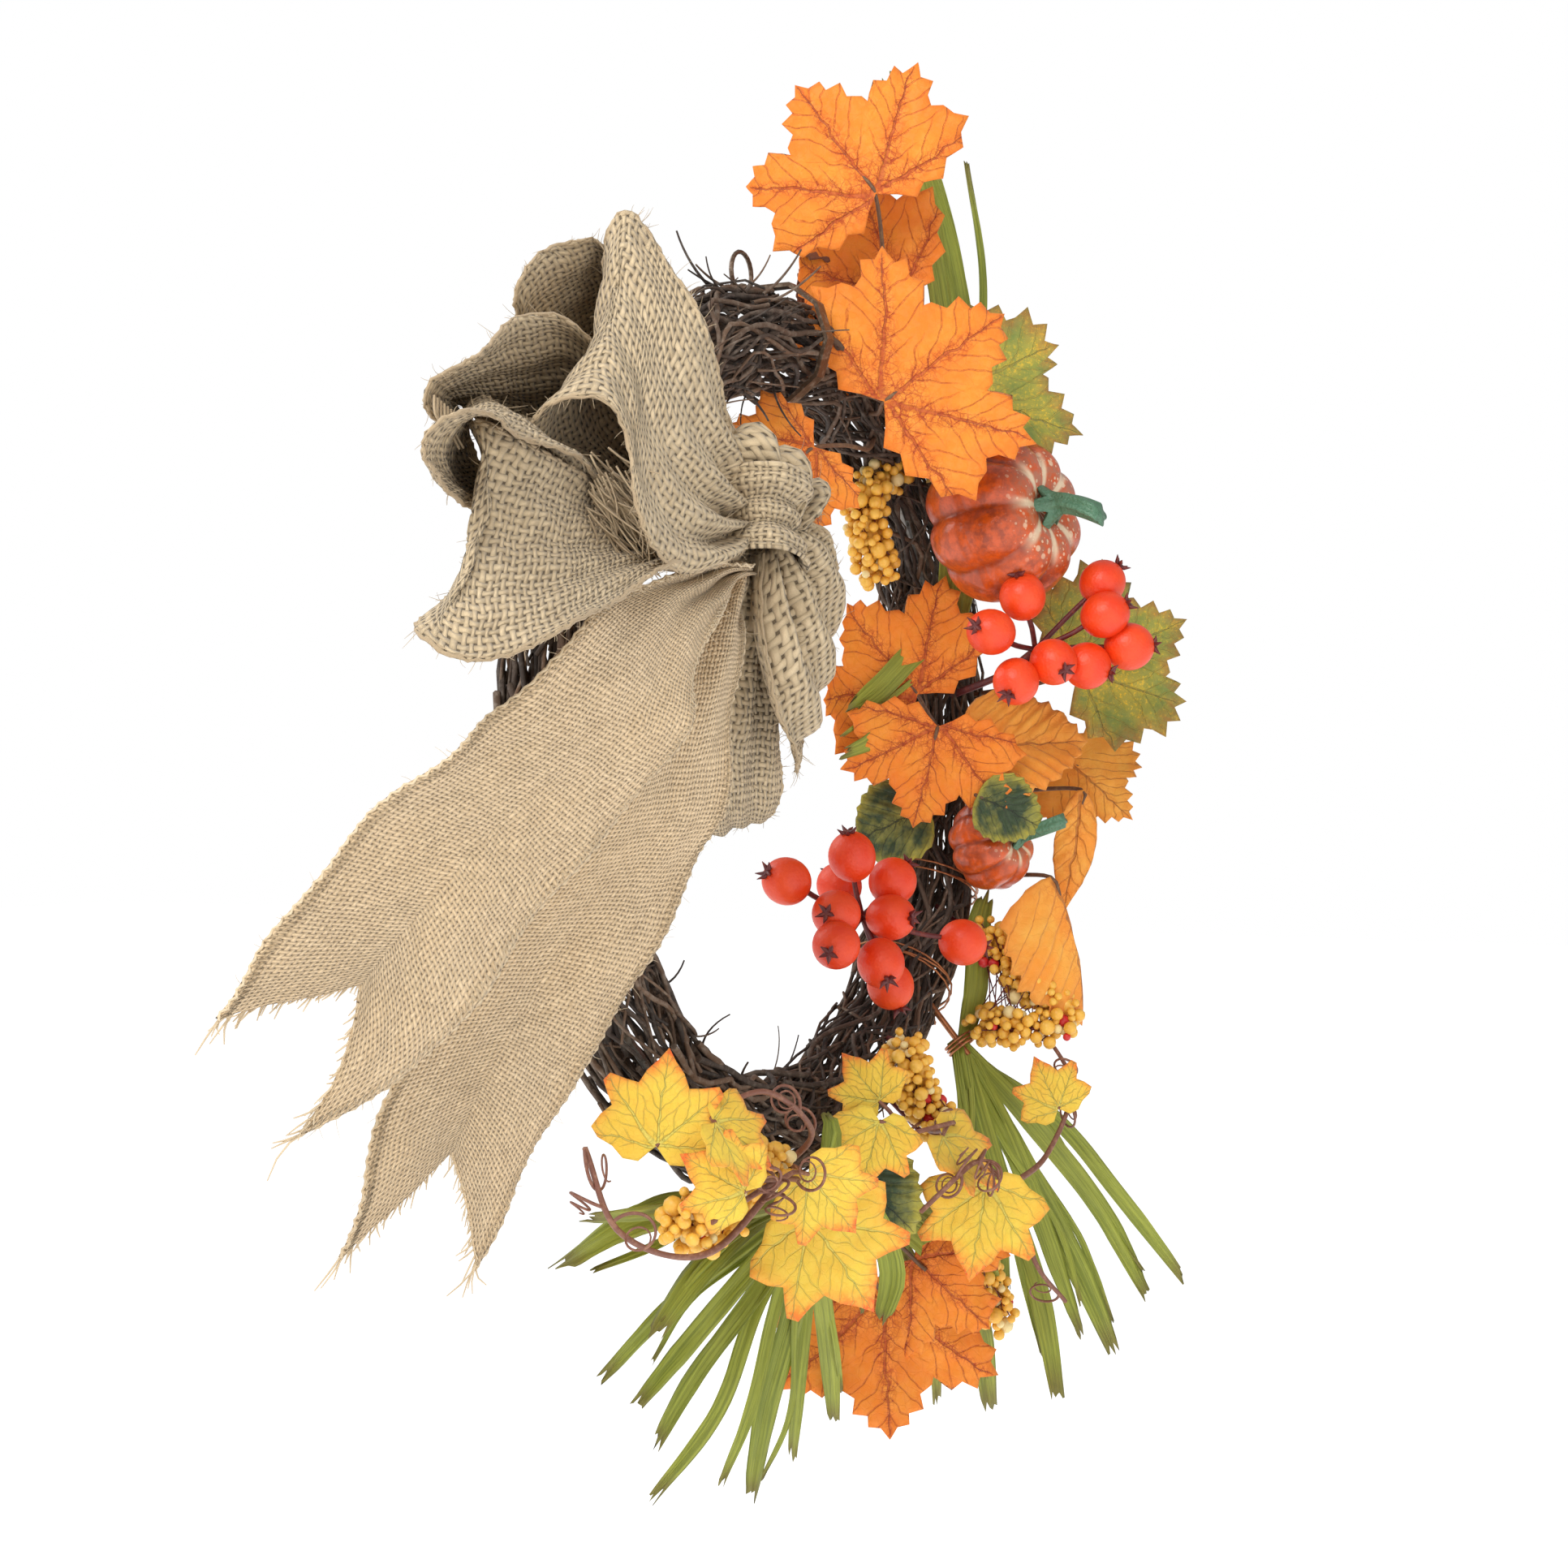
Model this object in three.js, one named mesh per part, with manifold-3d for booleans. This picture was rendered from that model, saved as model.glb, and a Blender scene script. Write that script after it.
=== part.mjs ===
// Harvest door wreath: a twig ring with a burlap bow, autumn leaves, pumpkins, berries and raffia.
// Millimetres, +Z up, -Y towards the room, +Y towards the door. The origin is where the hook
// bears inside the hanger loop. Shapes are laid out around the centre of the ring, O, and one
// group moves them all to the origin at the end.
import * as THREE from 'three';
import { mergeVertices } from 'three/addons/utils/BufferGeometryUtils.js';
import Module from 'manifold-3d';

const wasm = await Module();
wasm.setup();

// ---- Driving dimensions --------------------------------------------------------------------
const RING_RADIUS = 132; // centreline of the twig ring
const BUNDLE_RADIUS = 19; // half the thickness of the twig bundle
const TAIL_LIFT = 18; // degrees a tail lifts off the door
const TAIL_STEPS = 2; // stages of that lift
const SWEPT_ROWS = 6; // rows of a tail, from its gathered end, that sweep past other pieces
const BACK_FLAT = 15; // the bundle is pressed flat this far behind its centreline
const DOOR_REACH = 14; // leaves reach back this far, just short of the door
const SEGMENTS = 8; // bundles tied end to end round the hoop
const FACETS = 5; // straight stretches in one bundle's arc
const HOOP_WIRE = 1.5; // radius of the wire hoop inside the bundles
const FIT = 0.3; // gap between pieces that touch
const SMALLEST_EDGE = 0.05; // finer detail than this is dropped when a piece is cut
const MOST_SLANT = 0.4; // limits how far a sharp corner moves when a solid is swollen
const BINDING_ANGLES = [165, 207, 318, 336]; // clock angles of the binding wires, from +X towards +Z
const TIE_WIDTH = 2.4;
const TIE_THICKNESS = 1.5;
const RIBBON_WIDTH = 64; // burlap ribbon
const RIBBON_THICKNESS = 1.6;
const TAIL_THICKNESS = 1.2;
const LAYER_GAP = 2; // half the distance between a loop's two layers at the knot
const KNOT_CENTRE = [-106, -44, 60];
const KNOT_SIZE = [15, 15, 21];
const LEAF_THICKNESS = 0.8;
const STEM_RADIUS = 1.1;
const BERRY_RADIUS = 8.5;
const BLADE_THICKNESS = 1.2;
const HANGER_WIRE = 0.8;
const HANGER_RADIUS = 7;
const EYE_RADIUS = 2.7;
const EYE_CENTRE = [0, 13, 150.5];
const ORIGIN_HEIGHT = EYE_CENTRE[2] + 2 * HANGER_RADIUS - HANGER_WIRE;

// ---- Colours and finishes --------------------------------------------------------------------
const FINISH = {
  twig: { color: 0x4a3a2c, roughness: 0.85 },
  wire: { color: 0xa5603a, roughness: 0.35, metalness: 0.9 },
  burlap: { color: 0xb09e7a, roughness: 0.95 },
  ribbon: { color: 0xd6be94, roughness: 0.95 },
  raffia: { color: 0x8a9a34, roughness: 0.7 },
  orangeLeaf: { color: 0xf28c22, roughness: 0.8 },
  greenLeaf: { color: 0x8f9c4a, roughness: 0.8 },
  darkLeaf: { color: 0x4a5230, roughness: 0.8 },
  brownLeaf: { color: 0x7a4a24, roughness: 0.8 },
  pumpkin: { color: 0xcf4a12, roughness: 0.3 },
  pumpkinStem: { color: 0x3e7a52, roughness: 0.45 },
  berry: { color: 0xe8431c, roughness: 0.25 },
  bead: { color: 0xf0b838, roughness: 0.45 },
  ivy: { color: 0xf2cf3c, roughness: 0.7 },
};

const vec = (p) => new THREE.Vector3(...p);

// ---- Solids ------------------------------------------------------------------------------------
/** A closed geometry as a solid that can be joined and cut. */
function toSolid(geometry) {
  const bare = geometry.clone();
  bare.deleteAttribute('normal');
  bare.deleteAttribute('uv');
  const merged = mergeVertices(bare, 1e-4);
  return new wasm.Manifold(new wasm.Mesh({
    numProp: 3,
    vertProperties: new Float32Array(merged.attributes.position.array),
    triVerts: new Uint32Array(merged.index.array),
  }));
}

/** A solid as an indexed geometry. */
function toGeometry(solid) {
  const mesh = solid.getMesh();
  const geometry = new THREE.BufferGeometry();
  geometry.setAttribute('position', new THREE.BufferAttribute(new Float32Array(mesh.vertProperties), 3));
  geometry.setIndex(new THREE.BufferAttribute(new Uint32Array(mesh.triVerts), 1));
  return geometry;
}

const join = (solids) => solids.reduce((whole, next) => whole.add(next));

/** The same solid with each face moved out by `amount`, to leave clearance round it. */
function swell(solid, amount) {
  const geometry = toGeometry(solid);
  const { position } = geometry.attributes;
  const corners = geometry.index.array;
  const normals = Array.from({ length: position.count }, () => new THREE.Vector3());
  const faces = Array.from({ length: position.count }, () => []);
  for (let i = 0; i < corners.length; i += 3) {
    const points = [0, 1, 2].map((k) => new THREE.Vector3().fromBufferAttribute(position, corners[i + k]));
    const face = new THREE.Triangle(...points).getNormal(new THREE.Vector3());
    points.forEach((point, k) => {
      const one = points[(k + 1) % 3].clone().sub(point);
      const other = points[(k + 2) % 3].clone().sub(point);
      normals[corners[i + k]].addScaledVector(face, one.angleTo(other));
      faces[corners[i + k]].push(face);
    });
  }
  normals.forEach((normal, i) => {
    normal.normalize();
    const solidFaces = faces[i].filter((face) => face.lengthSq() > 0.5);
    const slant = Math.min(...solidFaces.map((face) => face.dot(normal)));
    const point = new THREE.Vector3().fromBufferAttribute(position, i);
    point.addScaledVector(normal, amount / Math.max(slant, MOST_SLANT));
    position.setXYZ(i, point.x, point.y, point.z);
  });
  return toSolid(geometry);
}

/** A rod of even radius along a smooth curve through the points. */
function rod(points, radius, sides = 4, steps = 2 * (points.length - 1)) {
  const section = new THREE.Shape(Array.from({ length: sides }, (_, i) => {
    const angle = (2 * Math.PI * i) / sides;
    return new THREE.Vector2(radius * Math.cos(angle), radius * Math.sin(angle));
  }));
  const extrudePath = new THREE.CatmullRomCurve3(points.map(vec));
  return toSolid(new THREE.ExtrudeGeometry(section, { steps, extrudePath, bevelEnabled: false }));
}

/** A ball, stretched along the three axes. */
function ball(centre, size, detail = 0) {
  const geometry = new THREE.IcosahedronGeometry(1, detail);
  geometry.scale(...(Array.isArray(size) ? size : [size, size, size]));
  geometry.translate(...centre);
  return toSolid(geometry);
}

/** A sheet of even thickness over rows of points, closed round its rim. */
function sheet(rows, thickness) {
  const across = rows[0].length;
  const at = (i, j) => rows[Math.min(Math.max(i, 0), rows.length - 1)][Math.min(Math.max(j, 0), across - 1)];
  const top = [];
  const bottom = [];
  rows.forEach((row, i) => row.forEach((point, j) => {
    const along = new THREE.Vector3().subVectors(at(i + 1, j), at(i - 1, j));
    const over = new THREE.Vector3().subVectors(at(i, j + 1), at(i, j - 1));
    const offset = along.cross(over).normalize().multiplyScalar(thickness / 2);
    top.push(point.clone().add(offset));
    bottom.push(point.clone().sub(offset));
  }));
  const index = [];
  const low = top.length;
  const quad = (a, b, c, d) => index.push(a, b, c, a, c, d);
  for (let i = 0; i < rows.length - 1; i += 1) {
    for (let j = 0; j < across - 1; j += 1) {
      const a = i * across + j;
      quad(a, a + across, a + across + 1, a + 1);
      quad(low + a, low + a + 1, low + a + across + 1, low + a + across);
    }
    const left = i * across;
    const right = left + across - 1;
    quad(left, low + left, low + left + across, left + across);
    quad(right, right + across, low + right + across, low + right);
  }
  const last = (rows.length - 1) * across;
  for (let j = 0; j < across - 1; j += 1) {
    quad(j, j + 1, low + j + 1, low + j);
    quad(last + j, low + last + j, low + last + j + 1, last + j + 1);
  }
  const geometry = new THREE.BufferGeometry().setFromPoints([...top, ...bottom]);
  geometry.setIndex(index);
  return toSolid(geometry);
}

/** Rows of points between two smooth edges, `across` points from one edge to the other. */
function between(edgeA, edgeB, along, across) {
  const curves = [edgeA, edgeB].map((edge) => new THREE.CatmullRomCurve3(edge.map(vec)));
  return Array.from({ length: along + 1 }, (_, i) => {
    const [a, b] = curves.map((curve) => curve.getPoint(i / along));
    return Array.from({ length: across }, (__, j) => a.clone().lerp(b, j / (across - 1)));
  });
}

// ---- Twig ring -----------------------------------------------------------------------------------
/** Outline of the bundle, swollen by `grow`: round, with a flat back. x is outward, y is back. */
function bundleSection(grow) {
  const sides = 10;
  const flat = BACK_FLAT + grow;
  return Array.from({ length: sides }, (_, i) => {
    const angle = (2 * Math.PI * (i + 0.5)) / sides;
    const radius = BUNDLE_RADIUS + grow;
    return new THREE.Vector2(radius * Math.cos(angle), Math.min(radius * Math.sin(angle), flat));
  });
}

/** Point on the ring's centreline at a clock angle, moved out from O and towards the door. */
function onRing(degrees, outward = 0, back = 0) {
  const angle = THREE.MathUtils.degToRad(degrees);
  const radius = RING_RADIUS + outward;
  return [radius * Math.cos(angle), back, radius * Math.sin(angle)];
}

/** One bundle of twigs: an arc of the ring with a bore for the hoop. */
function twigBundle(index) {
  const span = 360 / SEGMENTS;
  const gap = THREE.MathUtils.radToDeg(FIT / (RING_RADIUS - BUNDLE_RADIUS));
  const from = 90 + index * span + gap / 2;
  const shape = new THREE.Shape(bundleSection(0));
  const bore = HOOP_WIRE + 2 * FIT;
  shape.holes.push(new THREE.Path([[bore, bore], [bore, -bore], [-bore, -bore], [-bore, bore]]
    .map(([x, y]) => new THREE.Vector2(x, y))));
  const geometry = new THREE.ExtrudeGeometry(shape, { depth: 1, steps: FACETS, bevelEnabled: false });
  const { position } = geometry.attributes;
  for (let i = 0; i < position.count; i += 1) {
    const degrees = from + position.getZ(i) * (span - gap);
    position.setXYZ(i, ...onRing(degrees, position.getX(i), position.getY(i)));
  }
  return toSolid(geometry);
}

/** A flat band round the bundle at a clock angle. */
function tieBand(degrees, width) {
  const shape = new THREE.Shape(bundleSection(2 * FIT + TIE_THICKNESS));
  shape.holes.push(new THREE.Path(bundleSection(2 * FIT).reverse()));
  const geometry = new THREE.ExtrudeGeometry(shape, { depth: width, bevelEnabled: false });
  geometry.translate(RING_RADIUS, 0, -width / 2);
  geometry.rotateY(-THREE.MathUtils.degToRad(degrees));
  return toSolid(geometry);
}

function wireHoop() {
  const geometry = new THREE.TorusGeometry(RING_RADIUS, HOOP_WIRE, 5, SEGMENTS * FACETS);
  geometry.rotateX(Math.PI / 2);
  return toSolid(geometry);
}

/** The tie at twelve o'clock, with the eye that the hanger loop swings in. */
function hangerTie() {
  const eye = new THREE.TorusGeometry(EYE_RADIUS, HANGER_WIRE, 6, 12);
  eye.rotateY(Math.PI / 2);
  eye.translate(...EYE_CENTRE);
  return tieBand(90, 2 * TIE_WIDTH).add(toSolid(eye));
}

function hangerLoop() {
  const geometry = new THREE.TorusGeometry(HANGER_RADIUS, HANGER_WIRE, 6, 20);
  geometry.rotateX(Math.PI / 2);
  geometry.translate(EYE_CENTRE[0], EYE_CENTRE[1], EYE_CENTRE[2] + HANGER_RADIUS);
  return toSolid(geometry);
}

// ---- Bow -----------------------------------------------------------------------------------------
/**
 * One ribbon loop. `out` points from the knot to the far turn, `wide` along the ribbon's width.
 * The ribbon leaves the knot gathered, opens to its width, turns and comes back.
 */
function bowLoop({ out, wide, length, open, width = RIBBON_WIDTH }) {
  const stations = 12;
  const start = 17;
  const gathered = 0.22;
  const x = vec(out).normalize();
  const y = new THREE.Vector3().crossVectors(vec(wide), x).normalize();
  const w = new THREE.Vector3().crossVectors(x, y);
  const rows = Array.from({ length: stations + 1 }, (_, i) => {
    const turn = -Math.PI + (2 * Math.PI * i) / stations;
    const reach = (1 + Math.cos(turn)) / 2;
    const swing = Math.sin(turn) * Math.sqrt(reach);
    const spread = gathered + (1 - gathered) * Math.min(1, 1.5 * reach);
    const centre = vec(KNOT_CENTRE)
      .addScaledVector(x, start + (length - start) * reach)
      .addScaledVector(y, 0.65 * open * swing + (i < stations / 2 ? -1 : 1) * LAYER_GAP);
    return [-1, 1].map((side) => centre.clone().addScaledVector(w, (side * spread * width) / 2));
  });
  return sheet(rows, RIBBON_THICKNESS);
}

const BOW_LOOPS = {
  bow_loop_upper_front: { out: [-0.78, 0.15, 0.75], wide: [0.3, -0.3, 1], length: 80, open: 38 },
  bow_loop_upper_back: { out: [-0.8, 0.62, 0.36], wide: [0.2, 0.2, 1], length: 98, open: 28 },
  bow_loop_left: { out: [-1, 0.28, 0.02], wide: [0, 0.4, 1], length: 108, open: 26, width: 46 },
  bow_loop_lower_left: { out: [-1, 0.1, -0.42], wide: [-0.5, 0.5, 1], length: 98, open: 34 },
  bow_loop_right_upper: { out: [0.75, -0.5, 0.5], wide: [-0.2, 0.2, 1], length: 58, open: 22, width: 48 },
  bow_loop_right_lower: { out: [0.55, -0.45, -0.72], wide: [0.6, 0.2, 0.5], length: 78, open: 34 },
  bow_loop_bottom: { out: [0.2, -0.1, -1], wide: [0.3, 1, 0], length: 88, open: 24, width: 50 },
};

/** A ribbon tail with a swallowtail end, gathered where it leaves the knot. */
function bowTail({ edgeA, edgeB, notch }) {
  const along = 9;
  const across = 3;
  const rows = between(edgeA, edgeB, along, across);
  const last = rows[along];
  const before = rows[along - 1];
  const middle = (across - 1) / 2;
  last.forEach((point, j) => {
    const cut = notch * (1 - Math.abs(j - middle) / middle);
    const back = new THREE.Vector3().subVectors(before[j], point).normalize();
    point.addScaledVector(back, Math.min(cut, 0.9 * before[j].distanceTo(point)));
  });
  return sheet(rows, TAIL_THICKNESS);
}

/** The room a tail passes through as it lifts off the door about its gathered end. */
function tailSweep({ edgeA, edgeB }) {
  const pivot = vec(edgeA[0]).add(vec(edgeB[0])).multiplyScalar(0.5);
  const axis = vec(edgeA[2]).sub(vec(edgeB[2])).normalize();
  const margin = TAIL_THICKNESS / 2 + FIT + SMALLEST_EDGE;
  const rows = between(edgeA, edgeB, 9, 3);
  const corners = (row, step) => [row[0], row[row.length - 1]].flatMap((corner) => {
    const angle = THREE.MathUtils.degToRad((TAIL_LIFT * step) / TAIL_STEPS);
    const point = corner.clone().sub(pivot).applyAxisAngle(axis, angle).add(pivot).toArray();
    return [0, 1, 2].flatMap((k) => [-margin, margin].map((by) => point.map((v, i) => (i === k ? v + by : v))));
  });
  const cells = [];
  for (let i = 0; i < SWEPT_ROWS; i += 1) {
    for (let step = 0; step < TAIL_STEPS; step += 1) {
      const points = [rows[i], rows[i + 1]].flatMap((row) => [...corners(row, step), ...corners(row, step + 1)]);
      cells.push(wasm.Manifold.hull(points));
    }
  }
  return join(cells).simplify(FIT / 4);
}

const TAILS = {
  bow_tail_left: {
    edgeA: [[-122, -54, 38], [-170, -52, 22], [-232, -34, -12], [-296, -8, -72]],
    edgeB: [[-112, -58, 32], [-142, -60, -20], [-196, -46, -62], [-262, -22, -104]],
    notch: 18,
  },
  bow_tail_right: {
    edgeA: [[-110, -50, 30], [-128, -44, -30], [-176, -26, -80], [-226, -6, -142]],
    edgeB: [[-100, -56, 30], [-92, -58, -30], [-128, -46, -92], [-186, -24, -154]],
    notch: 16,
  },
};

// ---- Leaves --------------------------------------------------------------------------------------
/** Half outlines as [degrees from the tip, radius], turned about where the stem joins. */
const LEAF_OUTLINES = {
  maple: [[0, 1], [14, 0.76], [27, 0.56], [38, 0.8], [50, 0.95], [66, 0.66], [80, 0.52], [102, 0.7],
    [130, 0.46], [165, 0.22]],
  grape: [[0, 1], [28, 0.72], [44, 0.92], [78, 0.7], [100, 0.84], [140, 0.5], [168, 0.22]],
  rounded: [[0, 1], [16, 0.94], [34, 0.74], [56, 0.48], [90, 0.24], [150, 0.08]],
  ivy: [[0, 1], [24, 0.56], [50, 0.9], [76, 0.5], [108, 0.66], [150, 0.3]],
  slender: [[0, 1], [12, 0.74], [26, 0.38], [70, 0.16], [140, 0.08]],
};

/** Bends what would lie in the door forward to just before it. */
const beforeDoor = (y) => (y > DOOR_REACH / 2
  ? DOOR_REACH * (1 - Math.exp(1 - (2 * y) / DOOR_REACH) / 2) : y);

/**
 * A moulded fabric leaf on its stem. `at` is where the stem joins the blade, `tip` points to the
 * tip, `face` is the side that the veins are printed on, `stem` is the way back to the ring.
 * `curl` bends the blade lengthways and `cup` crossways, both in mm at the tip's distance.
 */
function leaf({ outline, size, at, tip, face, stem = [], curl = 6, cup = 3, stemRadius = STEM_RADIUS }) {
  const half = LEAF_OUTLINES[outline];
  const polar = (degrees, radius) => {
    const angle = THREE.MathUtils.degToRad(degrees);
    return new THREE.Vector2(-size * radius * Math.sin(angle), size * radius * Math.cos(angle));
  };
  const left = half.map(([degrees, radius]) => polar(degrees, radius));
  const right = half.slice(1).reverse().map(([degrees, radius]) => polar(-degrees, radius));
  const shape = new THREE.Shape([...left, ...right]);
  const geometry = new THREE.ExtrudeGeometry(shape, { depth: LEAF_THICKNESS, bevelEnabled: false });
  const { position } = geometry.attributes;
  for (let i = 0; i < position.count; i += 1) {
    const along = position.getY(i) / size;
    const aside = position.getX(i) / size;
    position.setZ(i, position.getZ(i) - LEAF_THICKNESS / 2 - curl * along * along + cup * aside * aside);
  }
  const y = vec(tip).normalize();
  const z = vec(face).addScaledVector(y, -vec(face).dot(y)).normalize();
  const x = new THREE.Vector3().crossVectors(y, z);
  geometry.applyMatrix4(new THREE.Matrix4().makeBasis(x, y, z).setPosition(...at));
  for (let i = 0; i < position.count; i += 1) position.setY(i, beforeDoor(position.getY(i)));
  const blade = toSolid(geometry);
  if (!stem.length) return blade;
  const root = vec(at).addScaledVector(y, 0.12 * size).toArray();
  return blade.add(rod([root, at, ...stem], stemRadius, 4, 1 + stem.length));
}

const LEFT = [-0.86, -0.5, 0.08];
const LEAVES = {
  maple_leaf_top: {
    finish: 'orangeLeaf', outline: 'maple', size: 44, at: [28, -24, 186], tip: [-0.3, 0.5, 0.82],
    face: LEFT, stem: [[42, -20, 168], [50, -15, 150], [48, -6, 132]],
  },
  maple_leaf_upper_back: {
    finish: 'orangeLeaf', outline: 'maple', size: 46, at: [56, -20, 155], tip: [-0.34, 0.72, 0.3],
    face: LEFT, stem: [[62, -16, 144], [66, -8, 128]],
  },
  maple_leaf_upper_front: {
    finish: 'orangeLeaf', outline: 'maple', size: 50, at: [18, -32, 113], tip: [0.4, -0.68, 0.6],
    face: LEFT, stem: [[34, -22, 112], [52, -8, 116]],
  },
  maple_leaf_small: {
    finish: 'orangeLeaf', outline: 'maple', size: 27, at: [-10, -20, 95], tip: [-0.3, 0.4, -0.4],
    face: LEFT, stem: [[10, -21, 98], [34, -18, 100], [60, -8, 108]],
  },
  brown_leaf_upper: {
    finish: 'brownLeaf', outline: 'rounded', size: 32, at: [60, 2, 176], tip: [-0.42, 0.8, 0.32],
    face: [-0.4, -0.1, 0.9], stem: [[62, -2, 164], [62, -4, 140]],
  },
  brown_leaf_lower: {
    finish: 'brownLeaf', outline: 'rounded', size: 30, at: [52, 4, 158], tip: [-0.45, 0.85, 0.12],
    face: LEFT, stem: [[58, 2, 150], [60, 0, 132]],
  },
  grape_leaf_upper: {
    finish: 'greenLeaf', outline: 'grape', size: 48, at: [78, -30, 124], tip: [0.46, -0.85, -0.24],
    face: [-0.84, -0.46, 0.3], stem: [[84, -20, 120], [88, -6, 112]],
  },
  maple_leaf_middle_upper: {
    finish: 'orangeLeaf', outline: 'maple', size: 42, at: [86, -13, 17], tip: [-0.32, 0.56, 0.78],
    face: LEFT, stem: [[98, -12, 10], [118, -6, 6]],
  },
  maple_leaf_middle_lower: {
    finish: 'orangeLeaf', outline: 'maple', size: 37, at: [82, -23, 5], tip: [-0.1, 0.2, -0.96],
    face: LEFT, stem: [[100, -15, 3], [120, -6, 0]],
  },
  rounded_leaf_right: {
    finish: 'orangeLeaf', outline: 'rounded', size: 44, at: [96, -27, -3], tip: [0.45, -0.86, 0.1],
    face: [-0.8, -0.4, 0.4], stem: [[108, -18, -6], [122, -8, -8]],
  },
  grape_leaf_right: {
    finish: 'greenLeaf', outline: 'grape', size: 44, at: [132, -58, 27], tip: [0.42, -0.78, 0.42],
    face: LEFT, stem: [[134, -40, 22], [132, -12, 18]],
  },
  curled_leaf_right: {
    finish: 'orangeLeaf', outline: 'grape', size: 30, at: [146, -50, -8], tip: [0.36, -0.62, -0.7],
    face: LEFT, curl: -5, stem: [[142, -32, -8], [134, -10, -10]],
  },
  curled_leaf_green: {
    finish: 'darkLeaf', outline: 'slender', size: 46, at: [136, -58, -18], tip: [-0.1, 0.1, -1],
    face: LEFT, curl: 8, stem: [[138, -36, -18], [134, -12, -20]],
  },
  curled_leaf_lower: {
    finish: 'orangeLeaf', outline: 'rounded', size: 50, at: [120, -48, -52], tip: [0.1, -0.45, -0.88],
    face: [-0.7, -0.6, 0.2], curl: 8, stem: [[122, -32, -50], [122, -10, -50]],
  },
  dark_leaf_left: {
    finish: 'darkLeaf', outline: 'rounded', size: 32, at: [96, -12, -24], tip: [-0.4, 0.7, -0.4],
    face: LEFT, stem: [[108, -10, -24], [124, -6, -26]],
  },
  dark_leaf_right: {
    finish: 'darkLeaf', outline: 'rounded', size: 26, at: [88, -36, -20], tip: [0.4, -0.75, -0.4],
    face: LEFT, stem: [[98, -24, -18], [120, -8, -20]],
  },
  maple_leaf_bottom: {
    finish: 'orangeLeaf', outline: 'maple', size: 46, at: [38, -22, -194], tip: [0, -0.05, -1],
    face: [0.8, 0.5, 0], stem: [[28, -20, -180], [20, -12, -160], [16, -4, -140]],
  },
  maple_leaf_bottom_upper: {
    finish: 'orangeLeaf', outline: 'maple', size: 34, at: [42, -32, -180], tip: [0.3, -0.6, -0.6],
    face: [0.8, 0.5, 0.1], stem: [[34, -24, -168], [26, -10, -148]],
  },
  dark_leaf_bottom: {
    finish: 'darkLeaf', outline: 'rounded', size: 34, at: [4, -24, -142], tip: [0.36, -0.6, -0.7],
    face: LEFT, stem: [[2, -12, -138], [0, -4, -134]],
  },
};

// ---- Pumpkins --------------------------------------------------------------------------------------
/** Axes of a pumpkin whose stem points along `up`. */
function pumpkinBasis(up) {
  const y = vec(up).normalize();
  const x = new THREE.Vector3().crossVectors(y, new THREE.Vector3(0, 0, 1)).normalize();
  return new THREE.Matrix4().makeBasis(x, y, new THREE.Vector3().crossVectors(x, y));
}

/** A ribbed body, flattened along its stem, with a dimple at each pole. */
function pumpkin({ at, up, radius, height, ribs }) {
  const geometry = new THREE.SphereGeometry(1, 2 * ribs, 8);
  const { position } = geometry.attributes;
  for (let i = 0; i < position.count; i += 1) {
    const point = new THREE.Vector3().fromBufferAttribute(position, i);
    const around = Math.atan2(point.z, point.x);
    const rib = 1 - 0.07 * (1 - Math.abs(Math.sin((ribs * around) / 2)));
    const side = Math.hypot(point.x, point.z);
    const dimple = 1 - 0.3 * (1 - side) ** 2;
    position.setXYZ(i, radius * rib * point.x, height * dimple * point.y, radius * rib * point.z);
  }
  geometry.applyMatrix4(pumpkinBasis(up).setPosition(...at));
  return toSolid(geometry);
}

/** A five-sided stalk with a flared foot, bent at its end. */
function pumpkinStem({ at, up, height, stalk, foot, bend }) {
  const y = vec(up).normalize();
  const root = vec(at).addScaledVector(y, 0.72 * height);
  const neck = vec(at).addScaledVector(y, height + 0.35 * stalk);
  const end = vec(at).addScaledVector(y, height + 0.8 * stalk).addScaledVector(vec(bend), 0.5 * stalk);
  const flare = new THREE.CylinderGeometry(0.45 * foot, foot, 0.4 * stalk, 5);
  flare.applyMatrix4(pumpkinBasis(up).setPosition(vec(at).addScaledVector(y, height + 0.02 * stalk)));
  return rod([root, neck, end].map((p) => p.toArray()), 0.45 * foot, 5, 3).add(toSolid(flare));
}

const PUMPKINS = {
  pumpkin_large: {
    at: [84, -48, 79], up: [-0.2, -0.96, 0.16], radius: 29.5, height: 24, ribs: 8,
    stalk: 15, foot: 7, bend: [0.2, -0.3, -0.7],
  },
  pumpkin_small: {
    at: [108, -33, -38], up: [-0.2, -0.96, 0.25], radius: 16.5, height: 14, ribs: 8,
    stalk: 14, foot: 4.5, bend: [0.3, -0.5, 0.3],
  },
};

// ---- Berries and beads -----------------------------------------------------------------------------
/** Berries on wire stems that meet at a hub, with one stem on to the ring. */
function berrySpray({ hub, foot, berries }) {
  const stems = berries.map((centre) => rod([hub, centre], 1.1, 4, 1));
  const fruit = berries.map((centre) => ball(centre, BERRY_RADIUS));
  return join([ball(hub, 2.6), rod([hub, ...foot], 1.3), ...stems, ...fruit]);
}

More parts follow.
